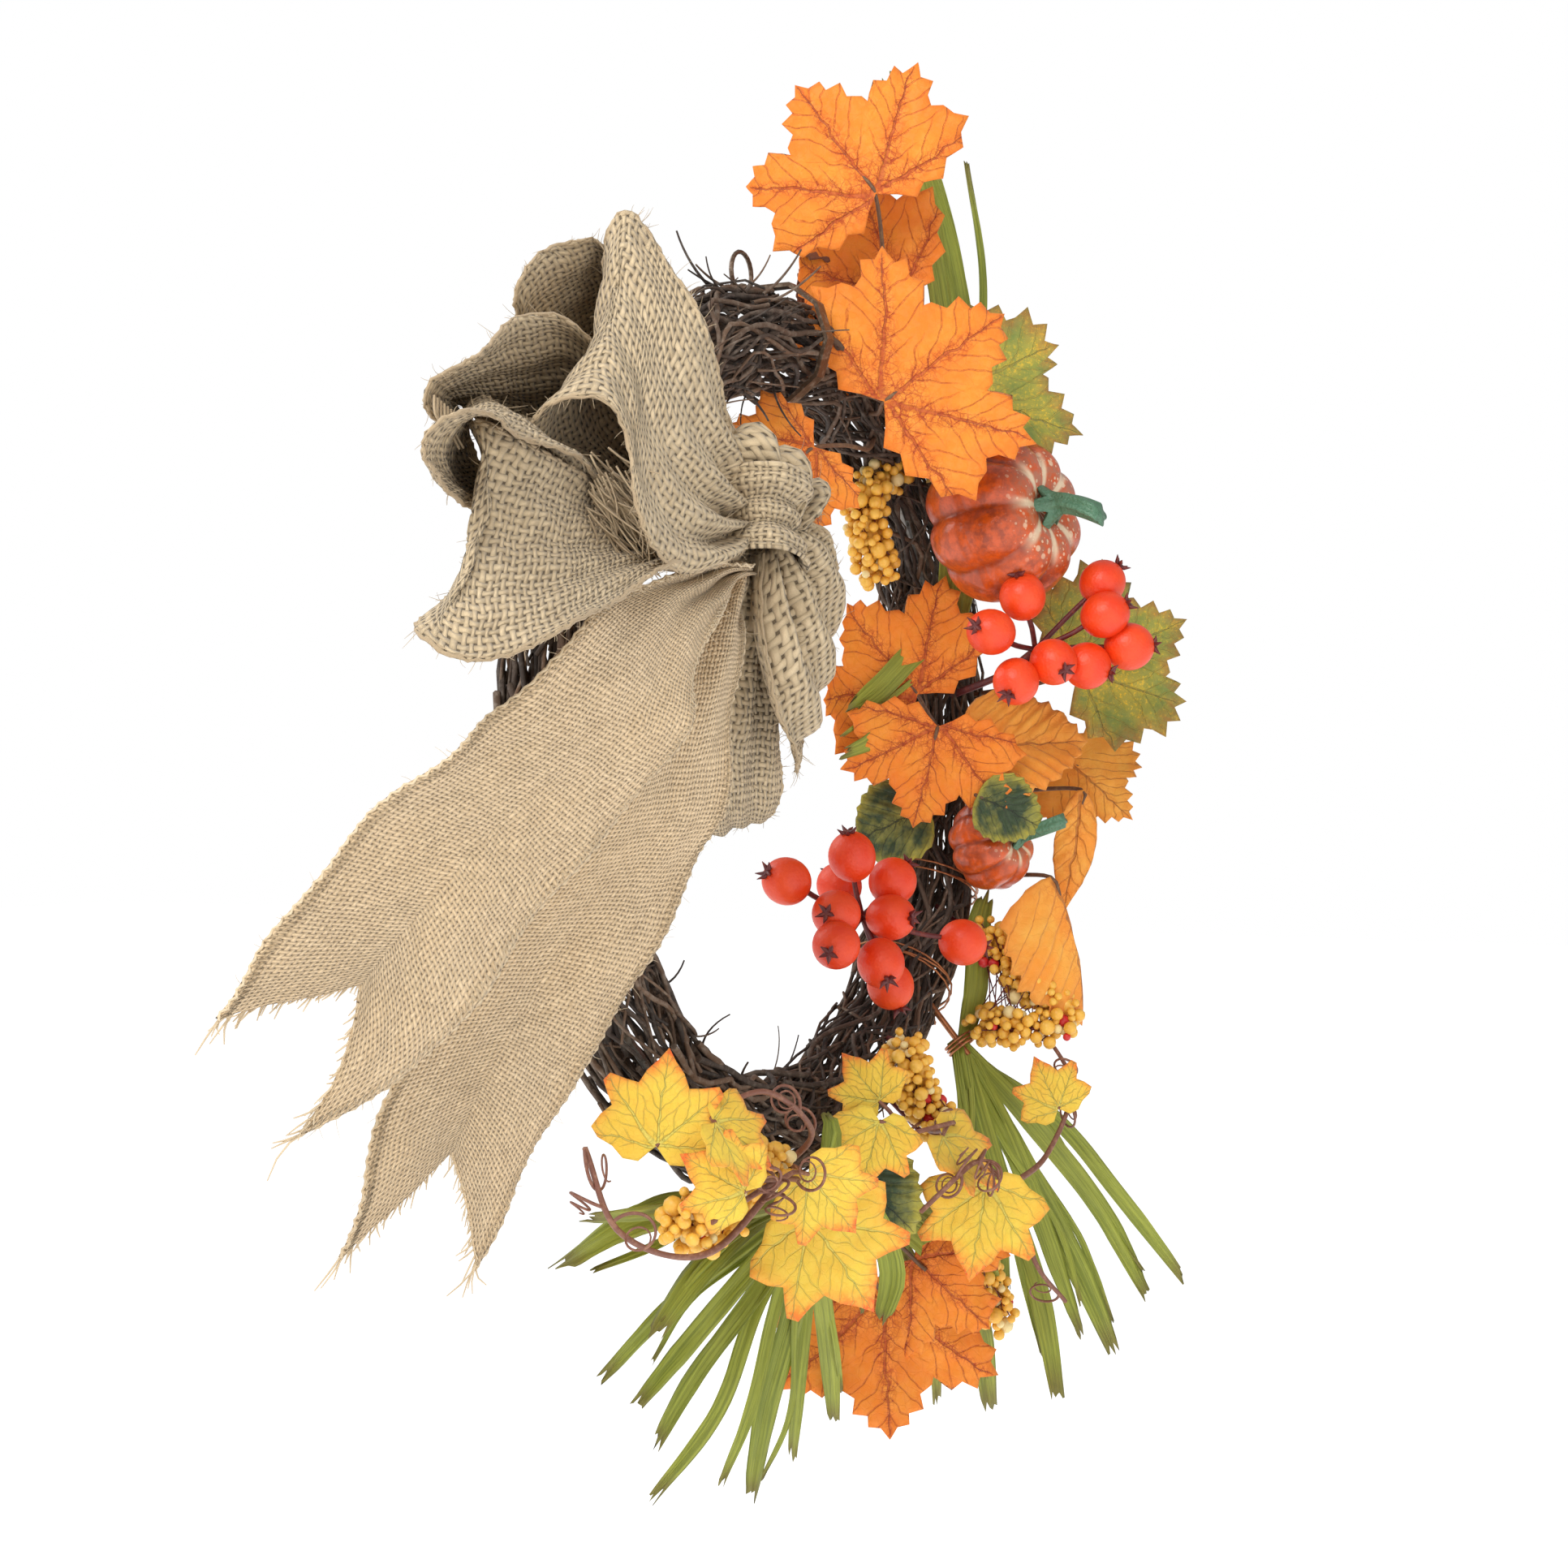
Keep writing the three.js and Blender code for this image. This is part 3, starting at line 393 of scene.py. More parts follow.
class Graph:
    """One node tree, a material's or a group's, with short calls for the nodes that it needs."""

    def __init__(self, tree: bpy.types.NodeTree) -> None:
        """Start on an empty tree."""
        self.tree = tree
        tree.nodes.clear()

    def feed(self, socket: bpy.types.NodeSocket, value: "Num | Value") -> None:
        """Link a value to a socket, or set it there when it is plain."""
        value = value.socket if isinstance(value, Num) else value
        if isinstance(value, bpy.types.NodeSocket):
            self.tree.links.new(value, socket)
        elif socket.type == "RGBA" and hasattr(value, "__len__") and len(value) == 3:
            socket.default_value = (*value, 1.0)
        else:
            socket.default_value = value

    def node(self, kind: str, inputs: Optional[dict[str | int, "Num | Value"]] = None,
            **settings: object) -> bpy.types.Node:
        """Add a node.

        Args:
            kind: The node's type.
            inputs: Values for its inputs, by name or number.
            **settings: The node's properties.

        Returns:
            The node.
        """
        made = self.tree.nodes.new(kind)
        for name, value in settings.items():
            setattr(made, name, value)
        for key, value in (inputs or {}).items():
            self.feed(made.inputs[key], value)
        return made

    def num(self, socket: bpy.types.NodeSocket) -> Num:
        """Wrap a socket as a number."""
        return Num(self, socket)

    def math(self, operation: str, *values: "Num | float") -> Num:
        """Put values through one Math node."""
        made = self.node("ShaderNodeMath", dict(enumerate(values)), operation=operation)
        return self.num(made.outputs[0])

    def ease(self, value: "Num | Value", low: float, high: float) -> Num:
        """Ease a value from 0 at `low` to 1 at `high`, which may be the smaller of the two.

        Args:
            value: The value.
            low: Where the result is 0.
            high: Where the result is 1.

        Returns:
            The eased value.
        """
        turned = low > high
        inputs = {"Value": value, "From Min": min(low, high), "From Max": max(low, high)}
        made = self.node("ShaderNodeMapRange", inputs, interpolation_type="SMOOTHSTEP")
        eased = self.num(made.outputs[0])
        return 1.0 - eased if turned else eased

    def parts(self, vector: bpy.types.NodeSocket) -> tuple[Num, Num, Num]:
        """Split a vector into its three numbers."""
        made = self.node("ShaderNodeSeparateXYZ", {0: vector})
        return tuple(self.num(out) for out in made.outputs)

    def vector(self, x: "Num | float", y: "Num | float", z: "Num | float" = 0.0) -> bpy.types.NodeSocket:
        """Join three numbers into a vector."""
        return self.node("ShaderNodeCombineXYZ", {0: x, 1: y, 2: z}).outputs[0]

    def noise(self, vector: bpy.types.NodeSocket, scale: float, detail: float = 2.0,
            rough: float = 0.5) -> Num:
        """Read smooth random values over a vector."""
        made = self.node("ShaderNodeTexNoise", {"Vector": vector, "Scale": scale, "Detail": detail,
            "Roughness": rough})
        return self.num(made.outputs["Fac"])

    def cells(self, vector: bpy.types.NodeSocket, scale: float, feature: str = "F1") -> Num:
        """Read distances in a pattern of cells over a vector."""
        made = self.node("ShaderNodeTexVoronoi", {"Vector": vector, "Scale": scale}, feature=feature)
        return self.num(made.outputs["Distance"])

    def mix(self, factor: "Num | float", one: "Value", other: "Value",
            blend: str = "MIX") -> bpy.types.NodeSocket:
        """Mix two colours."""
        made = self.node("ShaderNodeMix", {0: factor, 6: one, 7: other}, data_type="RGBA",
            blend_type=blend)
        return made.outputs[2]

    def own_uv(self) -> bpy.types.NodeSocket:
        """Read the piece's own flat layout."""
        return self.node("ShaderNodeUVMap", uv_map="lay").outputs[0]

    def place(self) -> bpy.types.NodeSocket:
        """Read places on the piece in the frame, in metres."""
        return self.node("ShaderNodeTexCoord").outputs["Object"]

    def stored(self, name: str) -> Num:
        """Read a number stored on the piece's points."""
        return self.num(self.node("ShaderNodeAttribute", attribute_name=name).outputs["Fac"])

    def island(self) -> Num:
        """Read a random number that each loose part of the piece has for itself."""
        return self.num(self.node("ShaderNodeNewGeometry").outputs["Random Per Island"])

    def group(self, tree: bpy.types.NodeTree, **inputs: "Num | Value") -> dict[str, Num]:
        """Place a node group.

        Args:
            tree: The group.
            **inputs: Its inputs by name, with _ for a space.

        Returns:
            Its outputs by name.
        """
        made = self.node("ShaderNodeGroup", node_tree=tree)
        for name, value in inputs.items():
            self.feed(made.inputs[name.replace("_", " ")], value)
        return {out.name: self.num(out) for out in made.outputs}

    def bump(self, height: "Num", depth: float, strength: float = 1.0) -> bpy.types.NodeSocket:
        """Turn heights of 0 to 1 into a bumped normal.

        Args:
            height: The height.
            depth: How deep 1 is, in millimetres.
            strength: How much of the bump shows.

        Returns:
            The normal.
        """
        made = self.node("ShaderNodeBump", {"Height": height, "Distance": depth * MM,
            "Strength": strength})
        return made.outputs[0]


def new_group(name: str, inputs: dict[str, float | Point],
        outputs: Sequence[str]) -> tuple[bpy.types.NodeTree, Graph, dict[str, Num]]:
    """Start a node group.

    Args:
        name: Its name.
        inputs: Its inputs with their usual values; a value of three numbers makes a vector.
        outputs: The names of its outputs, all plain numbers.

    Returns:
        The group, a graph to build it in, and its inputs there by name.
    """
    tree = bpy.data.node_groups.new(name, "ShaderNodeTree")
    for key, value in inputs.items():
        kind = "NodeSocketVector" if hasattr(value, "__len__") else "NodeSocketFloat"
        tree.interface.new_socket(name=key, in_out="INPUT", socket_type=kind).default_value = value
    for key in outputs:
        tree.interface.new_socket(name=key, in_out="OUTPUT", socket_type="NodeSocketFloat")
    graph = Graph(tree)
    inner = graph.node("NodeGroupInput")
    return tree, graph, {out.name: graph.num(out) for out in inner.outputs if out.name}


def put_out(graph: Graph, **outputs: Num) -> None:
    """Link a group's outputs."""
    graph.node("NodeGroupOutput", {name: value for name, value in outputs.items()})


class Effects:
    """Node groups that several finishes share, each built once."""

    def __init__(self) -> None:
        """Build every group."""
        self.weave = self._weave()
        self.blotches = self._blotches()
        self.speckle = self._speckle()
        self.vein = self._vein()

    def _weave(self) -> bpy.types.NodeTree:
        """Plain weave: threads over and under each other, thick and thin along their length.

        Returns:
            The group.
        """
        tree, g, given = new_group("plain_weave", {"Lay": (0.0, 0.0, 0.0), "Pitch": 2.3, "Width": 0.72,
            "Wander": 0.25}, ("Height", "Thread", "Tone", "Weft"))
        u, v, _ = g.parts(given["Lay"].socket)
        lay = g.vector(u, v)
        drift_u = (g.noise(lay, 90.0, 1.0) - 0.5) * given["Wander"] * 3.0
        drift_v = (g.noise(g.vector(v + 0.31, u), 90.0, 1.0) - 0.5) * given["Wander"] * 3.0
        x = u * 1000.0 / given["Pitch"] + drift_u
        y = v * 1000.0 / given["Pitch"] + drift_v
        heights, tones = [], []
        for across, along, sign in ((x, y, 1.0), (y, x, -1.0)):
            thread = across.floor()
            slub = g.noise(g.vector(thread * 5.37, along * 0.22, sign), 1.0, 1.0)
            width = given["Width"] * (slub * 0.8 + 0.6)
            off = (across.fract() - 0.5) * 2.0 / width
            profile = (1.0 - off * off).at_least(0.0).power(0.5)
            wave = ((along - 0.5 + thread) * math.pi).cos() * (0.3 * sign) + 0.7
            heights.append(profile * wave)
            tones.append(g.noise(g.vector(thread * 3.13, along * 0.35 + sign * 7.0, sign), 1.3, 2.0))
        weft = (heights[1] - heights[0]).step(-0.02, 0.02)
        height = heights[0].at_least(heights[1])
        tone = tones[0] * (1.0 - weft) + tones[1] * weft
        put_out(g, Height=height, Thread=height.step(0.05, 0.4), Tone=tone, Weft=weft)
        return tree

    def _blotches(self) -> bpy.types.NodeTree:
        """Soft uneven patches.

        Returns:
            The group.
        """
        tree, g, given = new_group("blotches", {"Place": (0.0, 0.0, 0.0), "Scale": 60.0, "Cover": 0.5,
            "Softness": 0.12}, ("Mask",))
        field_ = g.node("ShaderNodeTexNoise", {"Vector": given["Place"], "Scale": given["Scale"],
            "Detail": 4.0, "Roughness": 0.62})
        raised = (g.num(field_.outputs["Fac"]) - (1.0 - given["Cover"])) / given["Softness"] + 0.5
        put_out(g, Mask=raised.at_least(0.0).at_most(1.0))
        return tree

    def _speckle(self) -> bpy.types.NodeTree:
        """Small round spots of several sizes.

        Returns:
            The group.
        """
        tree, g, given = new_group("speckle", {"Place": (0.0, 0.0, 0.0), "Scale": 500.0, "Size": 0.3},
            ("Mask",))
        spots = []
        for factor in (1.0, 1.9):
            found = g.node("ShaderNodeTexVoronoi", {"Vector": given["Place"],
                "Scale": given["Scale"] * factor})
            chance = g.parts(found.outputs["Color"])[0]
            off = g.num(found.outputs["Distance"]) / (given["Size"] * chance * chance).at_least(0.001)
            spots.append(off.step(1.0, 0.7))
        put_out(g, Mask=spots[0].at_least(spots[1]))
        return tree

    def _vein(self) -> bpy.types.NodeTree:
        """One main vein from the blade's foot, with its side veins, in the leaf's flat layout.

        Returns:
            The group.
        """
        tree, g, given = new_group("leaf_vein", {"Lay": (0.0, 0.0, 0.0), "Angle": 0.0, "Length": 1.0,
            "Spacing": 0.16, "Sector": 0.45}, ("Main", "Side", "Near"))
        x, y, _ = g.parts(given["Lay"].socket)
        sine, cosine = g.math("SINE", given["Angle"]), g.math("COSINE", given["Angle"])
        along = x * sine + y * cosine
        across = (x * cosine - y * sine).abs()
        reach = along / given["Length"]
        alive = reach.step(0.0, 0.04) * reach.step(1.02, 0.94)
        taper = (1.1 - reach).at_least(0.15)
        main = (across / taper).step(0.024, 0.006) * alive
        rib = ((along - across * 1.15) / given["Spacing"]).fract() - 0.5
        inside = (across - along * given["Sector"]).step(0.03, -0.03)
        side = rib.abs().step(0.075, 0.02) * inside * alive
        near = (across / taper).step(0.2, 0.0) * alive
        put_out(g, Main=main, Side=side, Near=near)
        return tree


# ---- Finishes --------------------------------------------------------------------------------------
def start_material(name: str, **plain: float) -> tuple[bpy.types.Material, Graph, bpy.types.Node]:
    """Start a material with one Principled shader.

    Args:
        name: The material's name.
        **plain: Plain values for the shader's sockets, with _ for a space.

    Returns:
        The material, a graph to build it in, and the shader.
    """
    material = bpy.data.materials.new(name)
    material.use_nodes = True
    graph = Graph(material.node_tree)
    shader = graph.node("ShaderNodeBsdfPrincipled", {key.replace("_", " "): v for key,
        v in plain.items()})
    graph.node("ShaderNodeOutputMaterial", {"Surface": shader.outputs[0]})
    return material, graph, shader


@dataclass(frozen=True)
class Burlap:
    """Woven jute: pale threads, painted shade where the weave dips, gaps between them painted darker and
    partly see-through, and fibres along them.
    """

    name: str
    pale: Colour
    shaded: Colour
    pitch: float
    width: float
    depth: float
    gaps: float

    def material(self, effects: Effects) -> bpy.types.Material:
        """Build the material.

        Args:
            effects: The node groups that finishes share.

        Returns:
            The material.
        """
        material, g, shader = start_material(self.name, Roughness=0.92, Sheen_Weight=0.15)
        lay = g.own_uv()
        cloth = g.group(effects.weave, Lay=lay, Pitch=self.pitch, Width=self.width, Wander=0.5)
        fibre = g.noise(g.place(), 2600.0, 3.0, 0.7)
        patch = g.group(effects.blotches, Place=g.place(), Scale=34.0, Cover=0.5, Softness=0.35)["Mask"]
        # painted shade: where a thread dips under a crossing one the colour goes towards the shaded one,
        # mixed with the threads' own random tone and fibres
        shade = (cloth["Height"] * 0.6 + cloth["Tone"] * 1.0 + fibre * 0.5 - 0.6).at_least(0.0).at_most(
            1.0)
        colour = g.mix(shade, self.shaded, self.pale)
        warm = tuple(c * f for c, f in zip(self.pale, (1.02, 0.93, 0.78)))
        colour = g.mix(patch * 0.3, colour, g.mix(shade, self.shaded, warm))
        # painted shade: the gaps between the threads get a darker copy of the shaded colour
        deep = tuple(c * 0.55 for c in self.shaded)
        colour = g.mix(cloth["Thread"], deep, colour)
        g.feed(shader.inputs["Base Color"], colour)
        g.feed(shader.inputs["Alpha"], (cloth["Thread"] * 4.0 + (1.0 - self.gaps)).at_most(1.0))
        g.feed(shader.inputs["Normal"], g.bump(cloth["Height"] + fibre * 0.22, self.depth))
        return material


@dataclass(frozen=True)
class Jute:
    """Loose jute thread, for stitches, frayed ends and fuzz."""

    name: str
    pale: Colour
    shaded: Colour

    def material(self) -> bpy.types.Material:
        """Build the material.

        Returns:
            The material.
        """
        material, g, shader = start_material(self.name, Roughness=0.9, Sheen_Weight=0.15)
        fibre = g.noise(g.place(), 1900.0, 3.0, 0.7)
        g.feed(shader.inputs["Base Color"], g.mix((fibre * 0.6 + g.island() * 0.4), self.shaded,
            self.pale))
        g.feed(shader.inputs["Normal"], g.bump(fibre, 0.2))
        return material


@dataclass(frozen=True)
class Bark:
    """Dry vine bark, each twig a little different."""

    name: str = "vine_bark"
    dark: Colour = (0.035, 0.024, 0.018)
    brown: Colour = (0.15, 0.085, 0.048)
    grey: Colour = (0.27, 0.215, 0.165)

    def material(self, effects: Effects) -> bpy.types.Material:
        """Build the material.

        Args:
            effects: The node groups that finishes share.

        Returns:
            The material.
        """
        material, g, shader = start_material(self.name)
        place = g.place()
        own = g.island()
        grain = g.noise(place, 900.0, 4.0, 0.7)
        # lighter grey-brown, glossier patches at random places: partly the bark's own weathering, partly
        # painted highlight on the twigs
        weathering_and_highlight = g.group(effects.blotches, Place=place, Scale=260.0, Cover=0.42, Softness=0.2)["Mask"]
        base = g.mix(own.power(1.6), self.dark, self.brown)
        g.feed(shader.inputs["Base Color"], g.mix(weathering_and_highlight * (own * 0.5 + 0.18), base, self.grey))
        g.feed(shader.inputs["Roughness"], 0.82 - weathering_and_highlight * 0.2)
        g.feed(shader.inputs["Normal"], g.bump(grain + weathering_and_highlight * 0.5, 0.35))
        return material


@dataclass(frozen=True)
class PaintedWire:
    """Thin wire or stem with a coat that is rubbed here and there."""

    name: str
    coat: Colour
    bare: Colour
    metal: float = 0.0
    roughness: float = 0.4

    def material(self, effects: Effects) -> bpy.types.Material:
        """Build the material.

        Args:
            effects: The node groups that finishes share.

        Returns:
            The material.
        """
        material, g, shader = start_material(self.name, Metallic=self.metal)
        place = g.place()
        rubbed = g.group(effects.blotches, Place=place, Scale=420.0, Cover=0.4, Softness=0.2)["Mask"]
        g.feed(shader.inputs["Base Color"], g.mix(rubbed, self.coat, self.bare))
        g.feed(shader.inputs["Roughness"], self.roughness + rubbed * 0.2)
        g.feed(shader.inputs["Normal"], g.bump(g.noise(place, 1500.0, 3.0), 0.12))
        return material


@dataclass(frozen=True)
class PrintedLeaf:
    """Printed fabric leaf: a ground colour, blotches, veins and a tinted rim.

    `veins` holds for each main vein its angle from the tip in degrees, its length, and the slope of
    the sector that its side veins fill.
    """

    name: str
    ground: Colour
    second: Colour
    blush: Colour
    line: Colour
    rim: Colour
    veins: tuple[Point, ...]
    blush_amount: float = 0.7
    rim_amount: float = 0.5
    cover: float = 0.45
    line_amount: float = 0.8
    speckled: float = 0.0
    rim_start: float = 0.72
    reach: float = 0.0

    def material(self, effects: Effects) -> bpy.types.Material:
        """Build the material.

        Args:
            effects: The node groups that finishes share.

        Returns:
            The material.
        """
        material, g, shader = start_material(self.name, Roughness=0.72, Sheen_Weight=0.08)
        lay, place = g.own_uv(), g.place()
        u, v, _ = g.parts(lay)
        warped = g.vector(u + (g.noise(lay, 3.5) - 0.5) * 0.16, v + (g.noise(g.vector(v, u),
            3.5) - 0.5) * 0.16)
        main: Num | float = 0.0
        side: Num | float = 0.0
        near: Num | float = 0.0
        for angle, length, sector in self.veins:
            got = g.group(effects.vein, Lay=warped, Angle=math.radians(angle), Length=length,
                Sector=sector, Spacing=0.15)
            main = got["Main"].at_least(main)
            side = got["Side"].at_least(side)
            near = got["Near"].at_least(near)
        net = g.cells(lay, 13.0, "DISTANCE_TO_EDGE").step(0.06, 0.01)
        fine = g.cells(lay, 34.0, "DISTANCE_TO_EDGE").step(0.09, 0.01)
        patch = g.group(effects.blotches, Place=place, Scale=75.0, Cover=self.cover, Softness=0.3)["Mask"]
        grit = g.group(effects.blotches, Place=place, Scale=420.0, Cover=0.5, Softness=0.12)["Mask"]
        colour = g.mix(patch, self.ground, self.second)
        if self.speckled:
            flecks = g.group(effects.blotches, Place=place, Scale=800.0, Cover=0.42,
                Softness=0.06)["Mask"]
            colour = g.mix(flecks * patch * self.speckled, colour, self.blush)
        spread = (near * 0.9 + side * 0.5 + patch * 0.15).at_most(1.0)
        printed = (net * 0.55 + fine * 0.6 + grit * 0.4).at_most(1.0)
        colour = g.mix(spread * printed * self.blush_amount, colour, self.blush)
        reach = g.math("SQRT", u * u + v * v) * self.reach + (1.0 - self.reach)
        edge = (g.stored("rim") * reach).step(self.rim_start, 1.0)
        colour = g.mix(edge * (0.6 + grit * 0.4) * self.rim_amount, colour, self.rim)
        colour = g.mix((main * 0.85 + side * 0.3).at_most(1.0) * self.line_amount, colour, self.line)
        g.feed(shader.inputs["Base Color"], colour)
        g.feed(shader.inputs["Roughness"], 0.66 + grit * 0.16)
        cloth = g.noise(place, 2400.0, 2.0)
        height = (1.0 - main * 0.8 - side * 0.45) + cloth * 0.12 + net * -0.1
        g.feed(shader.inputs["Normal"], g.bump(height, 0.55))
        return material


@dataclass(frozen=True)
class PumpkinPaint:
    """Lacquered pumpkin skin: dark mottling, painted shade in the grooves, cream speckles and cream
    streaks by the stem.
    """

    name: str = "pumpkin_lacquer"
    orange: Colour = (0.62, 0.083, 0.003)
    rust: Colour = (0.13, 0.014, 0.004)
    cream: Colour = (0.80, 0.60, 0.40)

    def material(self, effects: Effects) -> bpy.types.Material:
        """Build the material.

        Args:
            effects: The node groups that finishes share.

        Returns:
            The material.
        """
        material, g, shader = start_material(self.name, Coat_Weight=0.3, Coat_Roughness=0.14)
        place = g.place()
        pole, groove = g.stored("pole"), g.stored("groove")
        mottle = g.group(effects.blotches, Place=place, Scale=300.0, Cover=0.5, Softness=0.22)["Mask"]
        broad = g.group(effects.blotches, Place=place, Scale=42.0, Cover=0.5, Softness=0.5)["Mask"]
        colour = g.mix(mottle * (broad * 0.6 + 0.18), self.orange, self.rust)
        # painted shade: the grooves between the ribs are darkened towards the rust colour
        colour = g.mix(groove.step(0.55, 1.0) * 0.45, colour, self.rust)
        dots = g.group(effects.speckle, Place=place, Scale=330.0, Size=0.5)["Mask"]
        colour = g.mix(dots * (pole.step(0.5, 0.95) * 0.8), colour, self.cream)
        streak = pole.step(0.62, 0.95) * (groove.step(0.3, 0.8) * 0.95 + mottle * 0.2)
        colour = g.mix(streak.at_most(1.0), colour, self.cream)
        g.feed(shader.inputs["Base Color"], colour)
        g.feed(shader.inputs["Roughness"], 0.32 + mottle * 0.14)
        g.feed(shader.inputs["Normal"], g.bump(g.noise(place, 220.0, 3.0) + mottle * 0.12, 0.5))
        return material


@dataclass(frozen=True)
class GlossPaint:
    """Lacquered foam in one colour with a second one in patches, for berries, stalks and beads."""

    name: str
    one: Colour
    other: Colour
    roughness: float = 0.3
    coat: float = 0.3
    scale: float = 180.0
    grain: float = 0.25
    odd: tuple[tuple[float, Colour], ...] = field(default=())

    def material(self, effects: Effects) -> bpy.types.Material:
        """Build the material.

        Args:
            effects: The node groups that finishes share.

        Returns:
            The material.
        """
        material, g, shader = start_material(self.name, Coat_Weight=self.coat, Coat_Roughness=0.2,
            Subsurface_Weight=0.0)
        place, own = g.place(), g.island()
        patch = g.group(effects.blotches, Place=place, Scale=self.scale, Cover=0.45, Softness=0.4)["Mask"]
        colour = g.mix((patch * 0.7 + own * 0.3).at_most(1.0), self.one, self.other)
        for share, odd_colour in self.odd:
            colour = g.mix((own - share).step(0.0, 0.001), odd_colour, colour)
        g.feed(shader.inputs["Base Color"], colour)
        g.feed(shader.inputs["Roughness"], self.roughness + patch * 0.1)
        g.feed(shader.inputs["Normal"], g.bump(g.noise(place, 900.0, 3.0), self.grain))
        return material


@dataclass(frozen=True)
class PaperRaffia:
    """Coated paper strips, streaked and creased lengthways."""

    name: str = "coated_paper_raffia"
    green: Colour = (0.15, 0.185, 0.009)
    light: Colour = (0.40, 0.43, 0.05)
    brown: Colour = (0.14, 0.08, 0.02)

    def material(self, effects: Effects) -> bpy.types.Material:
        """Build the material.

        Args:
            effects: The node groups that finishes share.

        Returns:
            The material.
        """
        material, g, shader = start_material(self.name, Coat_Weight=0.12, Coat_Roughness=0.35)
        u, v, _ = g.parts(g.own_uv())
        own = g.island()
        streaks = g.noise(g.vector(u * 1000.0 + own * 40.0, v * 26.0, own * 9.0), 0.9, 4.0, 0.65)
        patch = g.group(effects.blotches, Place=g.place(), Scale=70.0, Cover=0.4, Softness=0.4)["Mask"]
        colour = g.mix((streaks.step(0.32, 0.72) * 0.75 + own * 0.25).at_most(1.0), self.green,
            self.light)
        colour = g.mix(g.stored("tip").step(0.86, 1.0) * 0.6 + patch * 0.12, colour, self.brown)
        g.feed(shader.inputs["Base Color"], colour)
        g.feed(shader.inputs["Roughness"], 0.4 + streaks * 0.25)
        g.feed(shader.inputs["Normal"], g.bump(streaks, 0.7))
        return material


MAPLE_VEINS = ((0.0, 1.0, 0.42), (52.0, 0.98, 0.4), (-52.0, 0.98, 0.4), (92.0, 0.84, 0.34), (-92.0, 0.84,
    0.34))
GRAPE_VEINS = ((0.0, 0.98, 0.42), (44.0, 0.86, 0.4), (-44.0, 0.86, 0.4), (92.0, 0.72, 0.4), (-92.0, 0.72,
    0.4))
IVY_VEINS = ((0.0, 0.96, 0.5), (43.0, 0.88, 0.4), (-43.0, 0.88, 0.4), (84.0, 0.68, 0.3), (-84.0, 0.68,
    0.3))
FEATHER_VEINS = ((0.0, 0.98, 2.4),)


